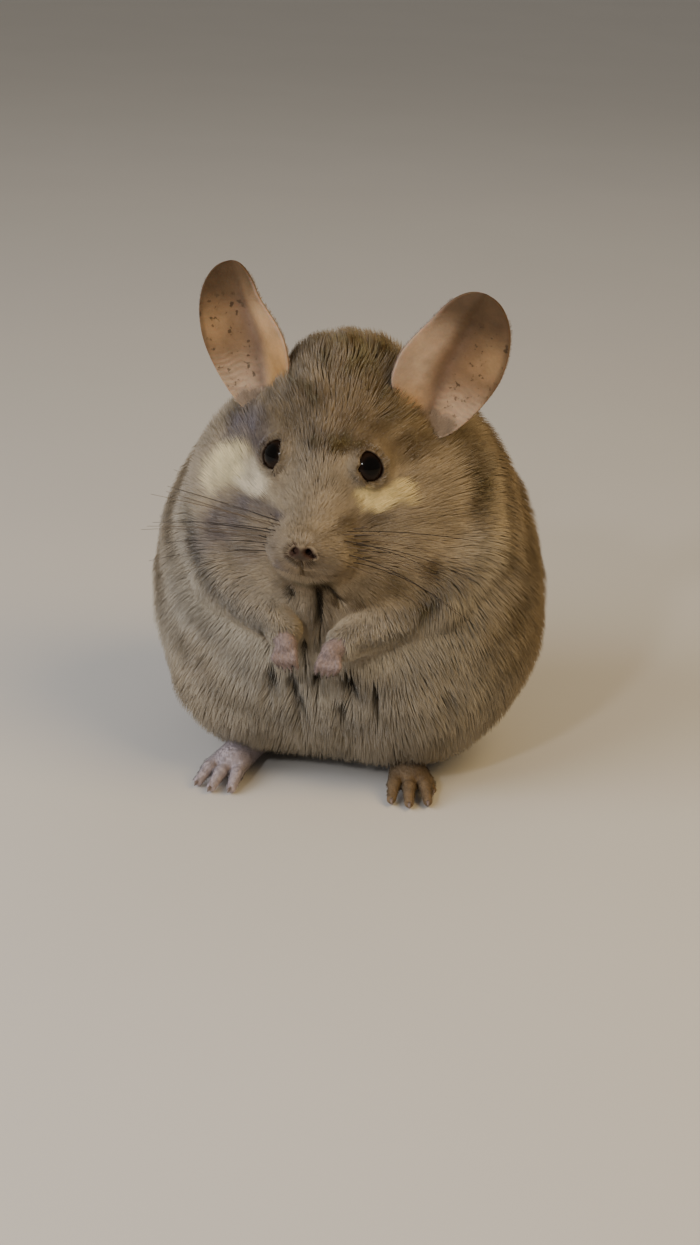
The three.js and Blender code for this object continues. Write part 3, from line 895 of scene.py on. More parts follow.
# Skin: one surface over trunk, head and arms, joined with hands, feet and the core of the tail
def skin_mesh():
    """The skin of trunk, head and arms, with finer faces on the muzzle and round the eyes."""
    points, faces = surface(skin_field, (-82, -84, -2), (80, 84, 172), SKIN_STEP)
    body = bmesh.new()
    corners = [body.verts.new(p) for p in points]
    for face in faces:
        body.faces.new([corners[i] for i in face])
    muzzle = head.out((0, 12, -30))
    spots = [(muzzle, 34, 1), (muzzle, 18, 2), *((eye.at, 13, 2) for eye in EYES.values())]
    for level in (1, 2):
        for centre, reach, finest in spots:
            if level > finest:
                continue
            chosen = set()
            for face in body.faces:
                if size_of(array(face.calc_center_median()) - centre) < reach / level**0.3:
                    chosen.update(face.edges)
            long_edges = [e for e in chosen if e.calc_length() > 1.5 / 2 ** (level - 1)]
            bmesh.ops.subdivide_edges(body, edges=long_edges, cuts=1, use_grid_fill=True)
    bmesh.ops.triangulate(body, faces=body.faces[:])
    body.verts.index_update()
    fine = array([v.co[:] for v in body.verts])
    triangles = np.array([[v.index for v in f.verts] for f in body.faces])
    body.free()
    return settled(skin_field, fine, 5), triangles


def corner_normals(points, faces):
    """Outward direction at each corner of a mesh of triangles."""
    total = np.zeros_like(points)
    a, b, c = (points[faces[:, i]] for i in range(3))
    face_normals = np.cross(b - a, c - a)
    for i in range(3):
        np.add.at(total, faces[:, i], face_normals)
    return unit(total)


def triangle_surface(field, low, high, pitch):
    """A closed surface from a field, with each face split in two triangles."""
    points, faces = surface(field, low, high, pitch)
    return points, np.concatenate((faces[:, [0, 1, 2]], faces[:, [0, 2, 3]]))


def joined_surfaces(parts):
    """Several (points, faces) as one."""
    points = np.concatenate([p for p, _ in parts])
    starts = np.cumsum([0] + [len(p) for p, _ in parts[:-1]])
    return points, np.concatenate([f + s for (_, f), s in zip(parts, starts)])


def make_skin():
    """The one skin, its points and faces, and how many points each part has, trunk first and tail last."""
    parts = [skin_mesh()]
    for side in (1, -1):
        wrist, palm = HANDS[side]
        low = np.minimum(wrist, palm) - 9
        high = np.maximum(wrist, palm) + 9
        parts.append(triangle_surface(hand_field(side), low - (0, 0, 6), high, HAND_STEP))
        ends = np.concatenate([(form["from"], form["to"]) for form in foot_forms(side)[0]])
        parts.append(triangle_surface(foot_field(side), ends.min(0) - 10, ends.max(0) + 10, FOOT_STEP))
    low, high = TAIL_STATIONS.min(0) - 9, TAIL_STATIONS.max(0) + 9
    parts.append(triangle_surface(tail_field, low, high, TAIL_STEP))
    sizes = [len(p) for p, _ in parts]
    points, faces = joined_surfaces(parts)
    skin = mesh_from("skin", points, faces, skin_look)
    # Painted shade on the skin under the coat, lifted back to the coat's colour where the skin is bare by
    # the nose and eyes
    shade = markings(points) * SKIN_SHADE_UNDER_COAT
    bare = patch(head.into(points), NOSE_TIP, (6, 4, 5), 0.3) + 1 - step(7, 9, eye_distance(points))
    shade = shade * mix(1, 1 / SKIN_SHADE_UNDER_COAT, np.clip(bare, 0, 1))[:, None]
    body_end = sizes[0]
    limbs_end = sum(sizes[:-1])
    paw_points = points[body_end:limbs_end]
    # The left foot takes the painted-shade copy of the foot's colour, the hands their own
    tone = np.where(paw_points[:, :1] > 0, FOOT_LIT_AND_SHADED[1], FOOT_LIT_AND_SHADED[-1])
    tone = np.where(paw_points[:, 2:] > 40, HAND, tone)
    shade[body_end:limbs_end] = tone * (1 + 0.1 * mottle(paw_points, 2.0))[:, None]
    # The tail's skin under its hair gets the same painted shade
    shade[limbs_end:] = TAIL_SIDE * SKIN_SHADE_UNDER_COAT
    paint(skin, shade)
    ride(skin)
    flesh = ["torso", "neck", "head", "arm_left", "arm_right", "haunch_left", "haunch_right"]
    limbs = ["hand_left", "hand_right", "foot_left", "foot_right", "tail_base", "tail_middle", "tail_tip"]
    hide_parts(*flesh, *limbs)
    return skin, points, faces, sizes


# Eyes and ears: closed grids of rings
def ring_grid(along, turns):
    """The values along and round a grid of rings, and its faces."""
    around = np.linspace(0, 2 * math.pi, turns + 1)[:-1]
    index = np.arange(len(along) * turns).reshape(len(along), turns)
    after = np.roll(index, -1, axis=1)
    faces = np.stack((index[:-1], after[:-1], after[1:], index[1:]), axis=-1).reshape(-1, 4)
    return *np.meshgrid(along, around, indexing="ij"), faces


def make_eyes():
    """Dark glossy balls with a black pupil."""
    across, around, faces = ring_grid(np.linspace(0, math.pi, EYE_RINGS), EYE_TURNS)
    ring = np.sin(across)
    local = np.stack((ring * np.cos(around), ring * np.sin(around), np.cos(across)), axis=-1).reshape(-1, 3)
    for eye in EYES.values():
        name = side_name("eye", eye.side)
        item = mesh_from(name + "_ball", eye.at + local * EYE_RADIUS @ eye.axes, faces[:, ::-1], eye_look)
        paint(item, laid(filled(IRIS, len(local)), PUPIL, step(0.80, 0.93, local[:, 2])))
        ride(item)
        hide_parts(name)


# Ears: an outer blade and an inner lobe that fold into a cup. Places in the head's frame, turns in degrees
EARS = {
    1: {"base": (31.5, -25, 12), "lean": 18, "tip": 4, "turn": 2, "taper": 6},
    -1: {"base": (33, -25, 12), "lean": 11, "tip": 4, "turn": 0, "taper": 13},
}


def ear_sheet(s, w, taper):
    """The ear's middle sheet before it is turned: s from root to tip, w from inner to outer rim."""
    rise = np.sqrt(np.maximum(4 * s * (1 - s), 0))
    outer = rise * mix(16, 19, step(0, 0.6, s))
    inner = rise * (mix(14, 24, step(0, 0.35, s)) - taper * step(0.5, 0.8, s))
    curl = np.sqrt(w * w + 0.01) - 0.1
    fold = EAR_FOLD * (1 - 0.6 * step(0.5, 1, s))
    away = w > 0
    side = np.where(away, w * outer, w * inner * np.cos(fold))
    cup = np.where(away, curl * curl * 0.22 * outer, curl * inner * np.sin(fold))
    return np.stack((side + 3 * step(0.3, 1, s), cup - 3 * rise, s * EAR_LENGTH - 6), axis=-1)


def ear_point(side, s, w, lift):
    """A point of the ear in the model's frame, lifted off its middle sheet."""
    ear = EARS[side]
    calm = np.clip(s, 0.03, 0.97)
    taper = ear["taper"]
    along = ear_sheet(calm + 0.01, w, taper) - ear_sheet(calm - 0.01, w, taper)
    outer, inner = np.minimum(w + 0.02, 1), np.maximum(w - 0.02, -1)
    over = ear_sheet(calm, outer, taper) - ear_sheet(calm, inner, taper)
    spot = ear_sheet(s, w, taper) + unit(np.cross(over, along)) * lift[..., None]
    aside, forward = turned(spot[..., 0], spot[..., 1], ear["turn"])
    away, high = turned(aside, spot[..., 2], ear["lean"])
    tall, ahead = turned(high, forward, -ear["tip"])
    base = ear["base"]
    return head.out(np.stack((side * (base[0] + away), base[1] + ahead, base[2] + tall), axis=-1))


def ear_colour(side, s, w, inside, p):
    """Pale inner lobe with painted light shining through it, painted shade in the crease, tan wall with
    painted light shining through it towards the outer rim, dark brown tip and a paler inner rim.
    """
    w = w + 0.06 * sway(p, 12.0)
    # Painted light shining through the wall towards its outer rim
    shade = laid(filled(EAR_WALL, len(s)), EAR_WALL_LIGHT_THROUGH, bell(w, 0.75, 0.3) * bell(s, 0.62, 0.12) * 0.6)
    shade = laid(shade, EAR_ROOT, (1 - step(0.2, 0.5, s)) * 0.8)
    shade = laid(shade, EAR_LOBE[side], (1 - step(-0.5, -0.1, w)) * 0.9)
    # Painted light shining through the lobe, broader on the animal's right ear
    light_through = bell(s, 0.3, 0.26) if side < 0 else bell(s, 0.2, 0.12) * 0.7
    shade = laid(shade, EAR_LIGHT_THROUGH, (1 - step(-0.5, -0.1, w)) * light_through * 0.9)
    shade = laid(shade, EAR_LOBE[side], (1 - step(0.06, 0.2, s)) * 0.7)
    # Painted shade in the crease
    shade = laid(shade, EAR_CREASE_SHADE, bell(w, -0.06, 0.2) * (1 - step(0.75, 0.95, s)) * 0.7)
    dark_from = 0.5 if side > 0 else 0.62
    shade = laid(shade, EAR_TIP, step(dark_from, 0.9, s + 0.06 * mottle(p, 9.0)) * 0.9)
    shade = laid(shade, EAR_RIM, (1 - step(-0.99, -0.86, w)) * (1 - step(0.8, 0.95, s)) * 0.35)
    shade = laid(shade, EAR_TIP, step(0.9, 0.99, w) * step(0.3, 0.5, s) * 0.5)
    shade = shade * (1 + 0.14 * sway(p, 8.0) + 0.12 * mottle(p, 2.6))[:, None]
    return np.where(inside[:, None], shade, laid(filled(EAR_BACK, len(s)), EAR_TIP, step(0.7, 1, s)))


def ear_freckles(s, w, inside):
    """Where the freckles of the cup may stand, from 0 to 1."""
    return inside * step(-0.2, 0.2, w) * step(0.12, 0.25, s) * (1 - step(0.72, 0.85, s))


def ear_ridges(s, w):
    """Fine wavy wrinkles across the lower wall of the cup, and fainter ones under the tip."""
    run = s * 160 + 3.5 * np.sin(w * 4 + s * 9) + 1.5 * np.sin(w * 11)
    low = step(-0.1, 0.1, w) * step(0.08, 0.2, s) * (1 - step(0.36, 0.5, s))
    return 0.1 * np.sin(run) * (low + 0.35 * bell(s, 0.75, 0.12))


def make_ear(side):
    """One thin closed leaf, whose front is the cup."""
    s, turn, faces = ring_grid(np.linspace(0.001, 0.999, EAR_RINGS), EAR_TURNS)
    w = np.cos(turn)
    face = np.sin(turn)
    rim = 0.5 * bell(np.abs(w), 1, 0.08)
    half = EAR_THICKNESS / 2 * (1 + rim) * np.sign(face) * np.abs(face) ** 0.4
    half = half * np.minimum(1, np.sqrt(4 * s * (1 - s)) * 2.5)
    points = ear_point(side, s, w, half + ear_ridges(s, w) * (face < 0)).reshape(-1, 3)
    name = side_name("ear", side)
    item = mesh_from(name + "_leaf", points, faces[:, ::side], ear_look)
    inside = face.ravel() < 0
    shade = ear_colour(side, s.ravel(), w.ravel(), inside, points)
    paint(item, shade, ear_freckles(s.ravel(), w.ravel(), inside))
    ride(item)
    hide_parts(name)


# Coat: closed tapered tufts whose roots are in the skin
BODY_TUFTS = 124000
COAT_PIECES = 8
CLUMPS = 9000
# Where along a tuft it is seen, which gives the tuft its colour
SEEN = 0.62
# How wide a tuft's patch is on the map for baking
BAKE_PATCH = 0.003


def tuft_width(depth):
    return 0.22 + 0.055 * depth


def tuft_length(depth):
    return 1.4 + 1.75 * depth


def across_surface(way, normal):
    """The part of a direction that lies along the surface."""
    return unit(way - np.sum(way * normal, axis=1, keepdims=True) * normal)


def lie_of_coat(p, normal):
    """Which way the hair runs: back from the nose, then down the body, and along arms."""
    q = head.into(p)
    from_nose = unit(p - head.out(NOSE_TIP))
    down = filled(array((0, 0.25, -1.0)), len(p))
    down[:, 0] += 0.3 * np.clip(p[:, 0] / 30, -1, 1)
    on_head = 1 - step(45, 85, size_of(q - (0, -8, -6)))
    way = mix(down, from_nose, on_head[:, None])
    for forms in ARMS.values():
        along = unit(forms[1]["to"] - forms[1]["from"])
        near = 1 - step(0, 14, form_distance(forms[1], p) + 10)
        way = mix(way, along + (0, 0, -0.5), near[:, None] * 0.8)
    way = way + 0.3 * three_way(sway, p, 40, 14.0)
    curly = step(8, 20, q[:, 2]) * on_head
    way = way + 0.5 * curly[:, None] * three_way(mottle, p, 40, 5.0)
    deep, away = parting(p, 2.2)
    way[:, 0] += 0.25 * deep * away
    for eye in EYES.values():
        outward = unit(across_surface(p - eye.at, filled(eye.way, len(p))))
        inward = np.minimum(np.sum(unit(way) * outward, axis=1) - 0.25, 0)
        near = 1 - step(8, 12, size_of(p - eye.at))
        way = unit(way) - (inward * near)[:, None] * outward
    return across_surface(way, normal)


def scattered(points, faces, amount, weight):
    """Seeded places on a surface, even in area times weight: (face, place in it)."""
    a, b, c = (points[faces[:, i]] for i in range(3))
    area = size_of(np.cross(b - a, c - a)) * weight((a + b + c) / 3)
    total = np.cumsum(area)
    picks = (np.arange(amount) + DRAW.uniform(0, 1, amount)) / amount * total[-1]
    chosen = np.searchsorted(total, picks)
    u, v = DRAW.uniform(0, 1, (2, amount))
    flip = u + v > 1
    u, v = np.where(flip, 1 - u, u), np.where(flip, 1 - v, v)
    return chosen, np.stack((1 - u - v, u, v), axis=1)


def tuft_faces(rings):
    """The triangles of one closed tuft: its root, its three sides and its tip."""
    pattern = [(0, 1, 2)]
    for k in range(rings - 1):
        a = 3 * k
        for i in range(3):
            j = (i + 1) % 3
            pattern += [(a + i, a + 3 + i, a + 3 + j), (a + i, a + 3 + j, a + j)]
    last = 3 * (rings - 1)
    pattern += [(last + i, last + 3, last + (i + 1) % 3) for i in range(3)]
    return np.array(pattern)


def tuft_mesh(name, tufts, rings=2):
    """Joined tufts: each a flat tapered blade with three sides that starts steep and lies down."""
    root, normal, way = tufts["root"], tufts["normal"], tufts["way"]
    length, width, lift = tufts["length"], tufts["width"], tufts["lift"]
    count = len(root)
    side = unit(np.cross(way, normal))
    layers = []
    shading = []
    for k in range(rings + 1):
        s = k / rings
        bend = lift * (1 - 0.8 * s)
        rise = np.sin(lift) * s * (1 - 0.3 * s)
        run = s * np.cos(lift * (1 - 0.55 * s))
        middle = root + length[:, None] * (normal * rise[:, None] + way * run[:, None])
        middle = middle + tufts["pull"] * s**1.5 - normal * (0.4 if k == 0 else 0)
        up = normal * np.cos(bend)[:, None] - way * np.sin(bend)[:, None]
        soft = unit(normal * 0.85 + up * 0.2)
        if k == rings:
            layers.append(middle)
            shading.append(soft)
            break
        wide = width[:, None] * (0.85 if k == 0 else 1.0 - 0.35 * s)
        layers += [middle - side * wide / 2, middle + side * wide / 2, middle + up * wide * 0.3]
        shading += [unit(soft - side * 0.14), unit(soft + side * 0.14), soft]
    points = np.stack(layers, axis=1)
    faces = (np.arange(count)[:, None, None] * len(layers) + tuft_faces(rings)[None]).reshape(-1, 3)
    points[:, :, 2] = np.maximum(points[:, :, 2], FLOOR_GAP)
    item = mesh_from(name, points.reshape(-1, 3), faces, coat_look)
    item.data.normals_split_custom_set_from_vertices(np.stack(shading, axis=1).reshape(-1, 3))
    along = array([k / rings for k in range(rings) for _ in range(3)] + [1.0])
    # Painted shade at the roots of the tufts, and each tip a little lighter or darker at random
    shade = mix(ROOT_SHADE, tufts["tip_tone"][:, None], along[None])
    paint(item, (tufts["tint"][:, None, :] * shade[..., None]).reshape(-1, 3))
    spots = array([(0, 0), (1, 0), (0.5, 0.4)] * rings + [(0.5, 1)])
    spots[:, 1] = np.repeat(np.linspace(0, 0.7, rings), 3).tolist() + [1.0]
    patch_uv = tufts["uv"][:, None, :] + (spots - 0.5)[None] * BAKE_PATCH
    layer = item.data.uv_layers.new(name="OFBake")
    layer.data.foreach_set("uv", np.clip(patch_uv.reshape(-1, 2)[faces.ravel()], 0, 1).ravel())
    return ride(item)


def grown(root, normal, uv, way, height, length, width, tint, unruly=0.09):
    """Tufts at roots on the skin: their tips reach the height given, with seeded variety."""
    count = len(root)
    length = length * DRAW.uniform(0.85, 1.12, count)
    lift = np.arcsin(np.clip(height / (length * 0.7), 0.1, 0.92))
    return {
        "root": root,
        "normal": normal,
        "uv": uv,
        "way": across_surface(way + unruly * DRAW.normal(0, 1, (count, 3)), normal),
        "length": length,
        "width": width * DRAW.uniform(0.8, 1.25, count),
        "lift": lift * DRAW.uniform(0.94, 1.04, count),
        "pull": np.zeros((count, 3)),
        "tint": tint * DRAW.uniform(0.93, 1.07, count)[:, None],
        "tip_tone": DRAW.choice((0.96, 1.0, 1.04), count, p=(0.25, 0.5, 0.25)),
    }


def part_of(tufts, chosen):
    return {name: values[chosen] for name, values in tufts.items()}


def clumped(tufts, amount, strength):
    """Leans each tuft's tip to the middle of the small lock that it stands in."""
    root = tufts["root"]
    middles = root[DRAW.choice(len(root), amount, replace=False)]
    tree = kdtree.KDTree(amount)
    for i, middle in enumerate(middles):
        tree.insert(middle, i)
    tree.balance()
    nearest = np.array([tree.find(p)[1] for p in root])
    tufts["pull"] = (middles[nearest] - root) * strength
    return tufts


def parted(tufts):
    """Pushes tufts aside where they would lie over a parting of the coat."""
    for share in (0.7, 1.0):
        over = tufts["root"] + tufts["way"] * (tufts["length"] * share)[:, None]
        deep, away = parting(over, 1.4)
        tufts["pull"][:, 0] += 0.5 * deep * away
    return tufts


def unwrap(skin):
    """Blender's own unwrap of the skin, as one place for each triangle corner."""
    bpy.context.view_layer.objects.active = skin
    skin.select_set(True)
    bpy.ops.object.mode_set(mode="EDIT")
    bpy.ops.mesh.select_all(action="SELECT")
    bpy.ops.uv.smart_project(angle_limit=math.radians(66), island_margin=0.002)
    bpy.ops.object.mode_set(mode="OBJECT")
    layer = skin.data.uv_layers.active
    layer.name = "OFBake"
    spots = np.zeros(len(skin.data.loops) * 2)
    layer.data.foreach_get("uv", spots)
    return spots.reshape(-1, 3, 2)


def rooted(points, faces, normals, face_uv, amount, weight):
    """Roots of tufts on a surface, with the surface's direction and map place at each."""
    chosen, place = scattered(points, faces, amount, weight)
    corners = faces[chosen]
    root = np.sum(points[corners] * place[..., None], axis=1)
    normal = unit(np.sum(normals[corners] * place[..., None], axis=1))
    return root, normal, np.sum(face_uv[chosen] * place[..., None], axis=1)


def make_coat(points, faces, body_count, face_uv):
    """The coat of trunk, head and arms, in pieces that go round the body."""
    body_faces = faces[np.all(faces < body_count, axis=1)]
    by_eye = 1 - step(9, 15, eye_distance(points[:body_count]))
    own = corner_normals(points, faces)[:body_count]
    normals = unit(mix(slope(animal, points[:body_count], 1.0), own, by_eye[:, None]))

    def weight(p):
        depth = coat_depth(p)
        bare = patch(head.into(p), NOSE_TIP, (3.6, 3.0, 2.4), 0.1)
        return (1 - bare) * step(2.0, 4.0, p[:, 2]) / (tuft_width(depth) * np.sqrt(tuft_length(depth)))

    root, normal, uv = rooted(points, body_faces, normals, face_uv, BODY_TUFTS, weight)
    way = lie_of_coat(root, normal)
    reach = way * tuft_length(coat_depth(root))[:, None]
    covering = parting(root + reach * 0.95, 1.4)[0] - parting(root + reach * SEEN, 1.2)[0]
    clear = DRAW.uniform(0, 1, len(root)) > 1.3 * covering
    for eye in EYES.values():
        for share in (0, 0.5, 1):
            q = eye.into(root + reach * share)
            clear &= (eye_opening(eye, q) > 1.08) | (np.abs(q[:, 2] - 6) > 6)
    q = head.into(root)
    on_lips = (np.abs(q[:, 2] - mouth_line(q[:, 0])) < 0.6) & (np.abs(q[:, 0]) < MOUTH_WIDTH / 2)
    on_lips &= q[:, 1] > 8
    clear &= ~on_lips & (blended(NOSTRILS, q, 0.6) > 0.1)
    root, normal, uv, way = root[clear], normal[clear], uv[clear], way[clear]
    depth = coat_depth(root)
    seen = root + way * tuft_length(depth)[:, None] * SEEN + normal * depth[:, None] * 0.7
    length = tuft_length(depth) * (1 - 0.3 * parting(seen)[0])
    height = coat_height(root, seen)
    tint = markings(seen, root)
    tufts = grown(root, normal, uv, way, height, length, tuft_width(depth), tint, 0.05)
    tufts = parted(clumped(tufts, CLUMPS, 0.06))
    angle = np.arctan2(root[:, 0], -(root[:, 1] - 8))
    for number, chosen in enumerate(np.array_split(np.argsort(angle), COAT_PIECES), 1):
        tuft_mesh(f"coat_{number}", part_of(tufts, chosen))


def over_floor(p):
    return step(1.5, 4.0, p[:, 2])


# The hands and feet in their order in the skin, and for each kind the tufts' number, length and lie
LIMBS = (("hand", 1), ("foot", 1), ("hand", -1), ("foot", -1))
LIMB_TUFTS = {"hand": 1100, "foot": 2600}
LIMB_HAIR = {"hand": 1.7, "foot": 2.0}


def make_limb_coat(points, faces, sizes, face_uv):
    """Very short hair on hands and feet, lying towards the digits."""
    normals = corner_normals(points, faces)
    starts = np.cumsum([0, *sizes])
    for number, (part, side) in enumerate(LIMBS, 1):
        chosen = (faces[:, 0] >= starts[number]) & (faces[:, 0] < starts[number + 1])
        count = LIMB_TUFTS[part]
        root, normal, uv = rooted(points, faces[chosen], normals, face_uv[chosen], count, over_floor)
        on_foot = part == "foot"
        way = FEET[side].axes[1] + (0, 0, -0.2) if on_foot else array((-side * 0.3, -0.4, -1.0))
        lie = across_surface(filled(way, count), normal)
        size = np.full(count, LIMB_HAIR[part])
        # Foot hair takes its side's foot colour, painted shade on the left foot
        tint = (FOOT_LIT_AND_SHADED[side] if on_foot else HAND) * 0.92 * (1 + 0.2 * mottle(root, 3.0))[:, None]
        tufts = grown(root, normal, uv, lie, size * 0.25, size, size * 0.17, tint)
        tuft_mesh(side_name(part + "_coat", side), tufts)


def make_ear_coat(side):
    """Short hair on the back of the ear, fine down along its rim, and longer hair round its root."""
    back, fringe, rim = 1800, 800, 900
    counts = (back, fringe, rim)
    s = [DRAW.uniform(low, high, n) for low, high, n in zip((0.05, 0.05, 0.1), (0.93, 0.14, 0.9), counts)]
    w = [DRAW.uniform(-0.95, 0.95, back), DRAW.uniform(-0.9, 0.9, fringe)]
    w.append(DRAW.choice((-0.99, 0.99), rim))
    s, w = np.concatenate(s), np.concatenate(w)
    lift = EAR_THICKNESS * 0.45 * np.repeat((1, -1, 1), counts)
    root = ear_point(side, s, w, lift)
    ahead = unit(ear_point(side, s + 0.02, w, lift) - root)
    outer = unit(root - ear_point(side, s, w * 0.9, lift))
    on_rim = (np.arange(len(s)) >= back + fringe)[:, None]
    normal = np.where(on_rim, outer, unit(root - ear_point(side, s, w, lift * 0)))
    size = np.repeat((1.8, 4.2, 1.0), counts) * DRAW.uniform(0.7, 1.1, len(s))
    tint = np.repeat([EAR_BACK * 1.15, EAR_ROOT * 0.7, EAR_RIM * 0.8], counts, axis=0)
    tint = tint * (1 + 0.35 * mottle(root, 2.4))[:, None]
    uv = np.stack((s, (w + 1) / 2), axis=1)
    lie = across_surface(ahead, normal)
    tufts = grown(root, normal, uv, lie, size * 0.3, size, size**0.5 * 0.17, tint, 0.35)
    tuft_mesh(side_name("ear_coat", side), tufts)


def make_tail_coat():
    """Long bristly hair round the tail, from rump to tip, the first of it closing the tail's end."""
    count, ends = 8000, 900
    t = DRAW.uniform(0.02, 1, count)
    t[:ends] = DRAW.uniform(0.97, 1, ends)
    at = curve_at(TAIL_POINTS, t)
    before, after = np.maximum(t - 0.01, 0), np.minimum(t + 0.01, 1)
    ahead = unit(curve_at(TAIL_POINTS, after) - curve_at(TAIL_POINTS, before))
    turn = DRAW.uniform(0, 2 * math.pi, count)
    right = unit(np.cross(ahead, array(UPWARD)))
    up = np.cross(right, ahead)
    normal = right * np.cos(turn)[:, None] + up * np.sin(turn)[:, None]
    reach = np.full(count, TAIL_CORE - 0.5)
    reach[:ends] *= np.sqrt(DRAW.uniform(0, 1, ends))
    closing = step(0.74, 1, t)
    room = TAIL_HAIR_END - t * TAIL_BONE
    length = np.minimum(DRAW.uniform(20, 30, count), np.maximum(room, 9))
    top = step(0.2, 0.9, normal[:, 2])
    tint = laid(filled(TAIL_SIDE, count), TAIL_TOP, top) * DRAW.uniform(0.75, 1.25, count)[:, None]
    uv = np.stack((t * 0.98 + 0.01, turn / (2 * math.pi) * 0.98 + 0.01), axis=1)
    width = np.full(count, 0.8)
    root = at + normal * reach[:, None]
    tip_facing = unit(normal + (0.32 * closing * reach / TAIL_CORE)[:, None] * ahead)
    height = (TAIL_RADIUS - TAIL_CORE) * (1 - 0.85 * closing)
    tufts = grown(root, tip_facing, uv, ahead, height, length, width, tint)
    tuft_mesh("coat_tail", tufts, rings=3)


def tube(points, radii, sides=6):
    """A tapered tube along points, closed at both ends: (points, triangles)."""
    points = array(points)
    ahead = unit(np.gradient(points, axis=0))
    right = unit(np.cross(ahead, array((0.3, 0.2, 1.0))))
    up = np.cross(right, ahead)
    angle = np.linspace(0, 2 * math.pi, sides + 1)[:-1]
    ring = np.cos(angle)[None, :, None] * right[:, None] + np.sin(angle)[None, :, None] * up[:, None]
    skin = (points[:, None] + ring * array(radii)[:, None, None]).reshape(-1, 3)
    ends = np.stack((points[0], points[-1]))
    faces = []
    for i in range(len(points) - 1):
        for j in range(sides):
            k = (j + 1) % sides
            a, b, c, d = i * sides + j, i * sides + k, (i + 1) * sides + k, (i + 1) * sides + j
            faces += [(a, c, b), (a, d, c)]
    first, last = len(skin), len(skin) + 1
    top = (len(points) - 1) * sides
    for j in range(sides):
        k = (j + 1) % sides
        faces += [(first, j, k), (last, top + k, top + j)]
    return np.concatenate((skin, ends)), np.array(faces)


# Whiskers: rows and columns on each side, thickness at root and tip, and the room they stay in
WHISKER_ROWS = 5
WHISKER_COLUMNS = 4
WHISKER_RADII = (0.19, 0.07)
WHISKER_ROOM = ((-89, -200, 1), (85, 200, 400))


def whisker(side, row, column):
    """One whisker: it leaves the muzzle sideways and droops, more so on the animal's left."""
    spot = head.out(array((side * (12.0 + column * 1.5), 14 - column * 3.2, -22 - row * 2.8)))
    spot = settled(animal, spot[None], 6)[0] - slope(animal, spot[None])[0] * 1.5
    length = mix(44, 60, column / 3) * DRAW.uniform(0.75, 1.1) * (1.3 if side < 0 else 1)
    droop = -0.05 - 0.08 * row if side < 0 else -0.3 - 0.14 * row
    droop += DRAW.uniform(-0.08, 0.08)
    rise = 0.06 * (1.0 - row) + DRAW.uniform(-0.05, 0.05)
    way = unit(head.axes.T @ array((side, -0.15 - 0.3 * column, rise)))
    t = np.linspace(0, 1, 9)[:, None]
    path = spot + way * t * length + array((0, 0.1, droop)) * (t**2) * length * 0.45
    return tube(np.clip(path, *WHISKER_ROOM), mix(*WHISKER_RADII, t[:, 0]), 5)


def make_whiskers():
    """Long curved whiskers on each side of the muzzle, brown and dark ones by turns."""
    parts = []
    shades = []
    for side in (1, -1):
        for row in range(WHISKER_ROWS):
            for column in range(WHISKER_COLUMNS):
                parts.append(whisker(side, row, column))
                tone = WHISKER_BROWN if (row + column) % 2 == 0 else WHISKER_DARK
                shades.append(filled(tone, len(parts[-1][0])))
    points, faces = joined_surfaces(parts)
    item = mesh_from("whiskers", points, faces, whisker_look)
    paint(item, np.concatenate(shades))
    ride(item)


def make_claws():
    """A short blunt claw at the end of each toe."""
    parts = []
    for side in (1, -1):
        _, tips = foot_forms(side)
        for tip in tips:
            ahead = FEET[side].axes[1]
            start = tip + ahead * 1.2 + (0, 0, 0.4)
            path = [start, start + ahead * 1.4 + (0, 0, 0.1), start + ahead * 2.6 + (0, 0, -0.9)]
            parts.append(tube(path, (0.85, 0.65, 0.15), 6))
    points, faces = joined_surfaces(parts)
    item = mesh_from("claws", points, faces, claw_look)
    paint(item, filled(CLAW, len(points)))
    ride(item)


# Camera: it looks at the middle of the animal from a little above
CAMERA_TURN = math.radians(10)
CAMERA_PITCH = math.radians(20)
CAMERA_ROLL = math.radians(3)
CAMERA_DISTANCE = 903.0
CAMERA_HEIGHT = 380.0
CAMERA_TARGET = array((1.4, 0, 0))
CAMERA_LENS = 69.4
SENSOR_HEIGHT = 36


def make_camera():
    data = bpy.data.cameras.new("camera")
    data.lens = CAMERA_LENS
    data.sensor_fit = "VERTICAL"
    data.sensor_height = SENSOR_HEIGHT
    camera = bpy.data.objects.new("camera", data)
    bpy.context.collection.objects.link(camera)
    ahead = array((-math.sin(CAMERA_TURN), math.cos(CAMERA_TURN), 0))
    right = array((math.cos(CAMERA_TURN), math.sin(CAMERA_TURN), 0))
    look = ahead * math.cos(CAMERA_PITCH) - array(UPWARD) * math.sin(CAMERA_PITCH)
    up = np.cross(right, look)
    tilted = right * math.cos(CAMERA_ROLL) + up * math.sin(CAMERA_ROLL)
    upright = up * math.cos(CAMERA_ROLL) - right * math.sin(CAMERA_ROLL)
    at = CAMERA_TARGET - ahead * CAMERA_DISTANCE + array(UPWARD) * CAMERA_HEIGHT
    turn = Matrix(np.stack((tilted, upright, -look), axis=1).tolist())
    camera.matrix_world = Matrix.Translation(placed(at).tolist()) @ turn.to_4x4()
    bpy.context.scene.camera = camera


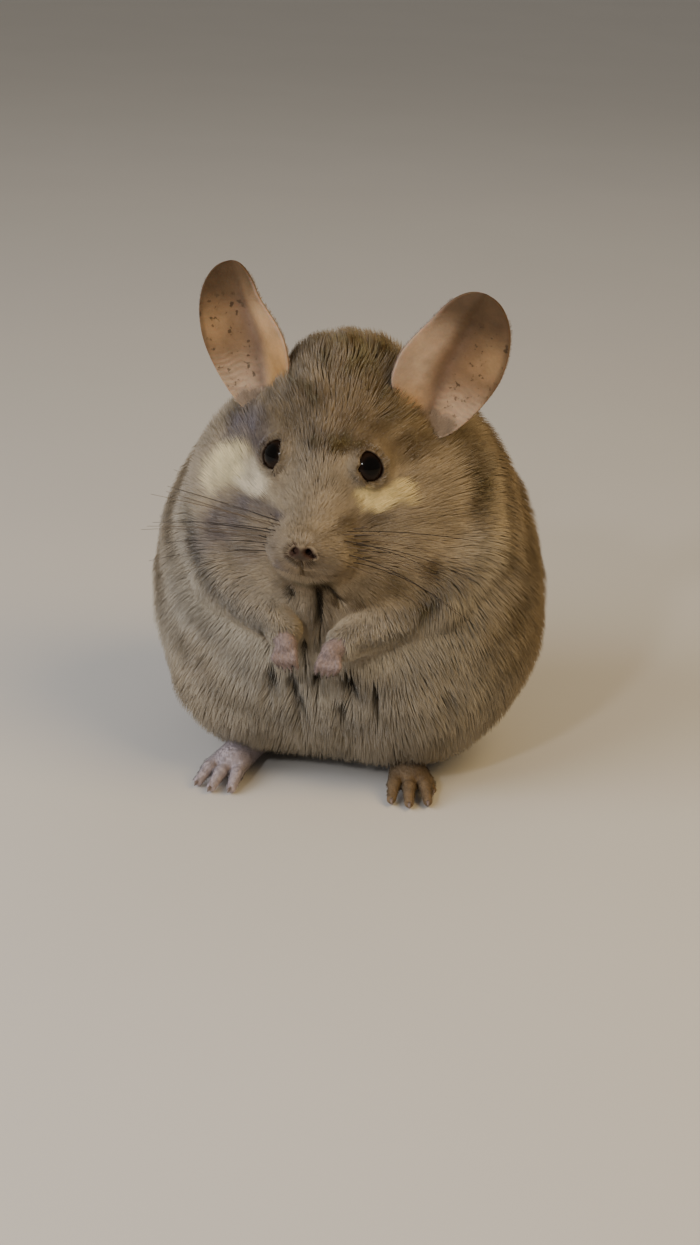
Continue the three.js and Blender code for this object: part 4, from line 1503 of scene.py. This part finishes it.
# Floor and light. Each lamp has its place and width in metres, power, colour and whether eyes mirror it
FLOOR_TONE = (0.62, 0.59, 0.55, 1)
LAMP_AIM = (0, 0, 0.09)
LAMPS = {
    "key": ((0.75, -0.35, 1.0), 0.7, 9, (1.0, 0.72, 0.32), False),
    "fill": ((-0.9, -0.8, 0.75), 1.0, 14, (0.90, 0.93, 1.0), False),
    "back": ((0.1, 1.1, 1.1), 0.9, 1.4, (1.0, 0.93, 0.82), True),
    "spark": ((-0.25, -1.2, 0.75), 0.09, 3.6, (1.0, 1.0, 1.0), True),
}
WORLD_TONE = (0.95, 0.90, 0.82, 1)
WORLD_STRENGTH = 0.28


def make_floor():
    """A plain pale floor just under the model."""
    material, tree, shader = nodes_of("floor", Roughness=0.9)
    tone = node(tree, "RGB", {}).outputs[0]
    tone.default_value = FLOOR_TONE
    tree.links.new(tinted(tree, tone, grain_noise(tree, 6), 0.97, 1.03), shader.inputs["Base Color"])
    bpy.ops.mesh.primitive_plane_add(size=12, location=(0, 0, -0.0005))
    floor = bpy.context.object
    floor.name = "floor"
    floor.data.materials.append(material)


def make_lamp(name, at, size, power, tone, mirrored_too):
    """A square lamp that faces the model."""
    data = bpy.data.lights.new(name, "AREA")
    data.size = size
    data.energy = power
    data.color = tone
    lamp = bpy.data.objects.new(name, data)
    bpy.context.collection.objects.link(lamp)
    aim = array(LAMP_AIM) - array(at)
    z = -unit(aim)
    x = unit(np.cross(array(UPWARD), z))
    turn = Matrix(np.stack((x, np.cross(z, x), z), axis=1).tolist())
    lamp.matrix_world = Matrix.Translation(at) @ turn.to_4x4()
    lamp.visible_glossy = mirrored_too


def make_light():
    for name, values in LAMPS.items():
        make_lamp(name, *values)
    world = bpy.data.worlds.new("studio")
    world.use_nodes = True
    background = world.node_tree.nodes["Background"]
    background.inputs["Color"].default_value = WORLD_TONE
    background.inputs["Strength"].default_value = WORLD_STRENGTH
    bpy.context.scene.world = world


def main():
    skin, points, faces, sizes = make_skin()
    face_uv = unwrap(skin)
    make_eyes()
    for side in (1, -1):
        make_ear(side)
    make_coat(points, faces, sizes[0], face_uv)
    make_limb_coat(points, faces, sizes, face_uv)
    for side in (1, -1):
        make_ear_coat(side)
    make_tail_coat()
    make_whiskers()
    make_claws()
    make_camera()
    make_floor()
    make_light()


main()
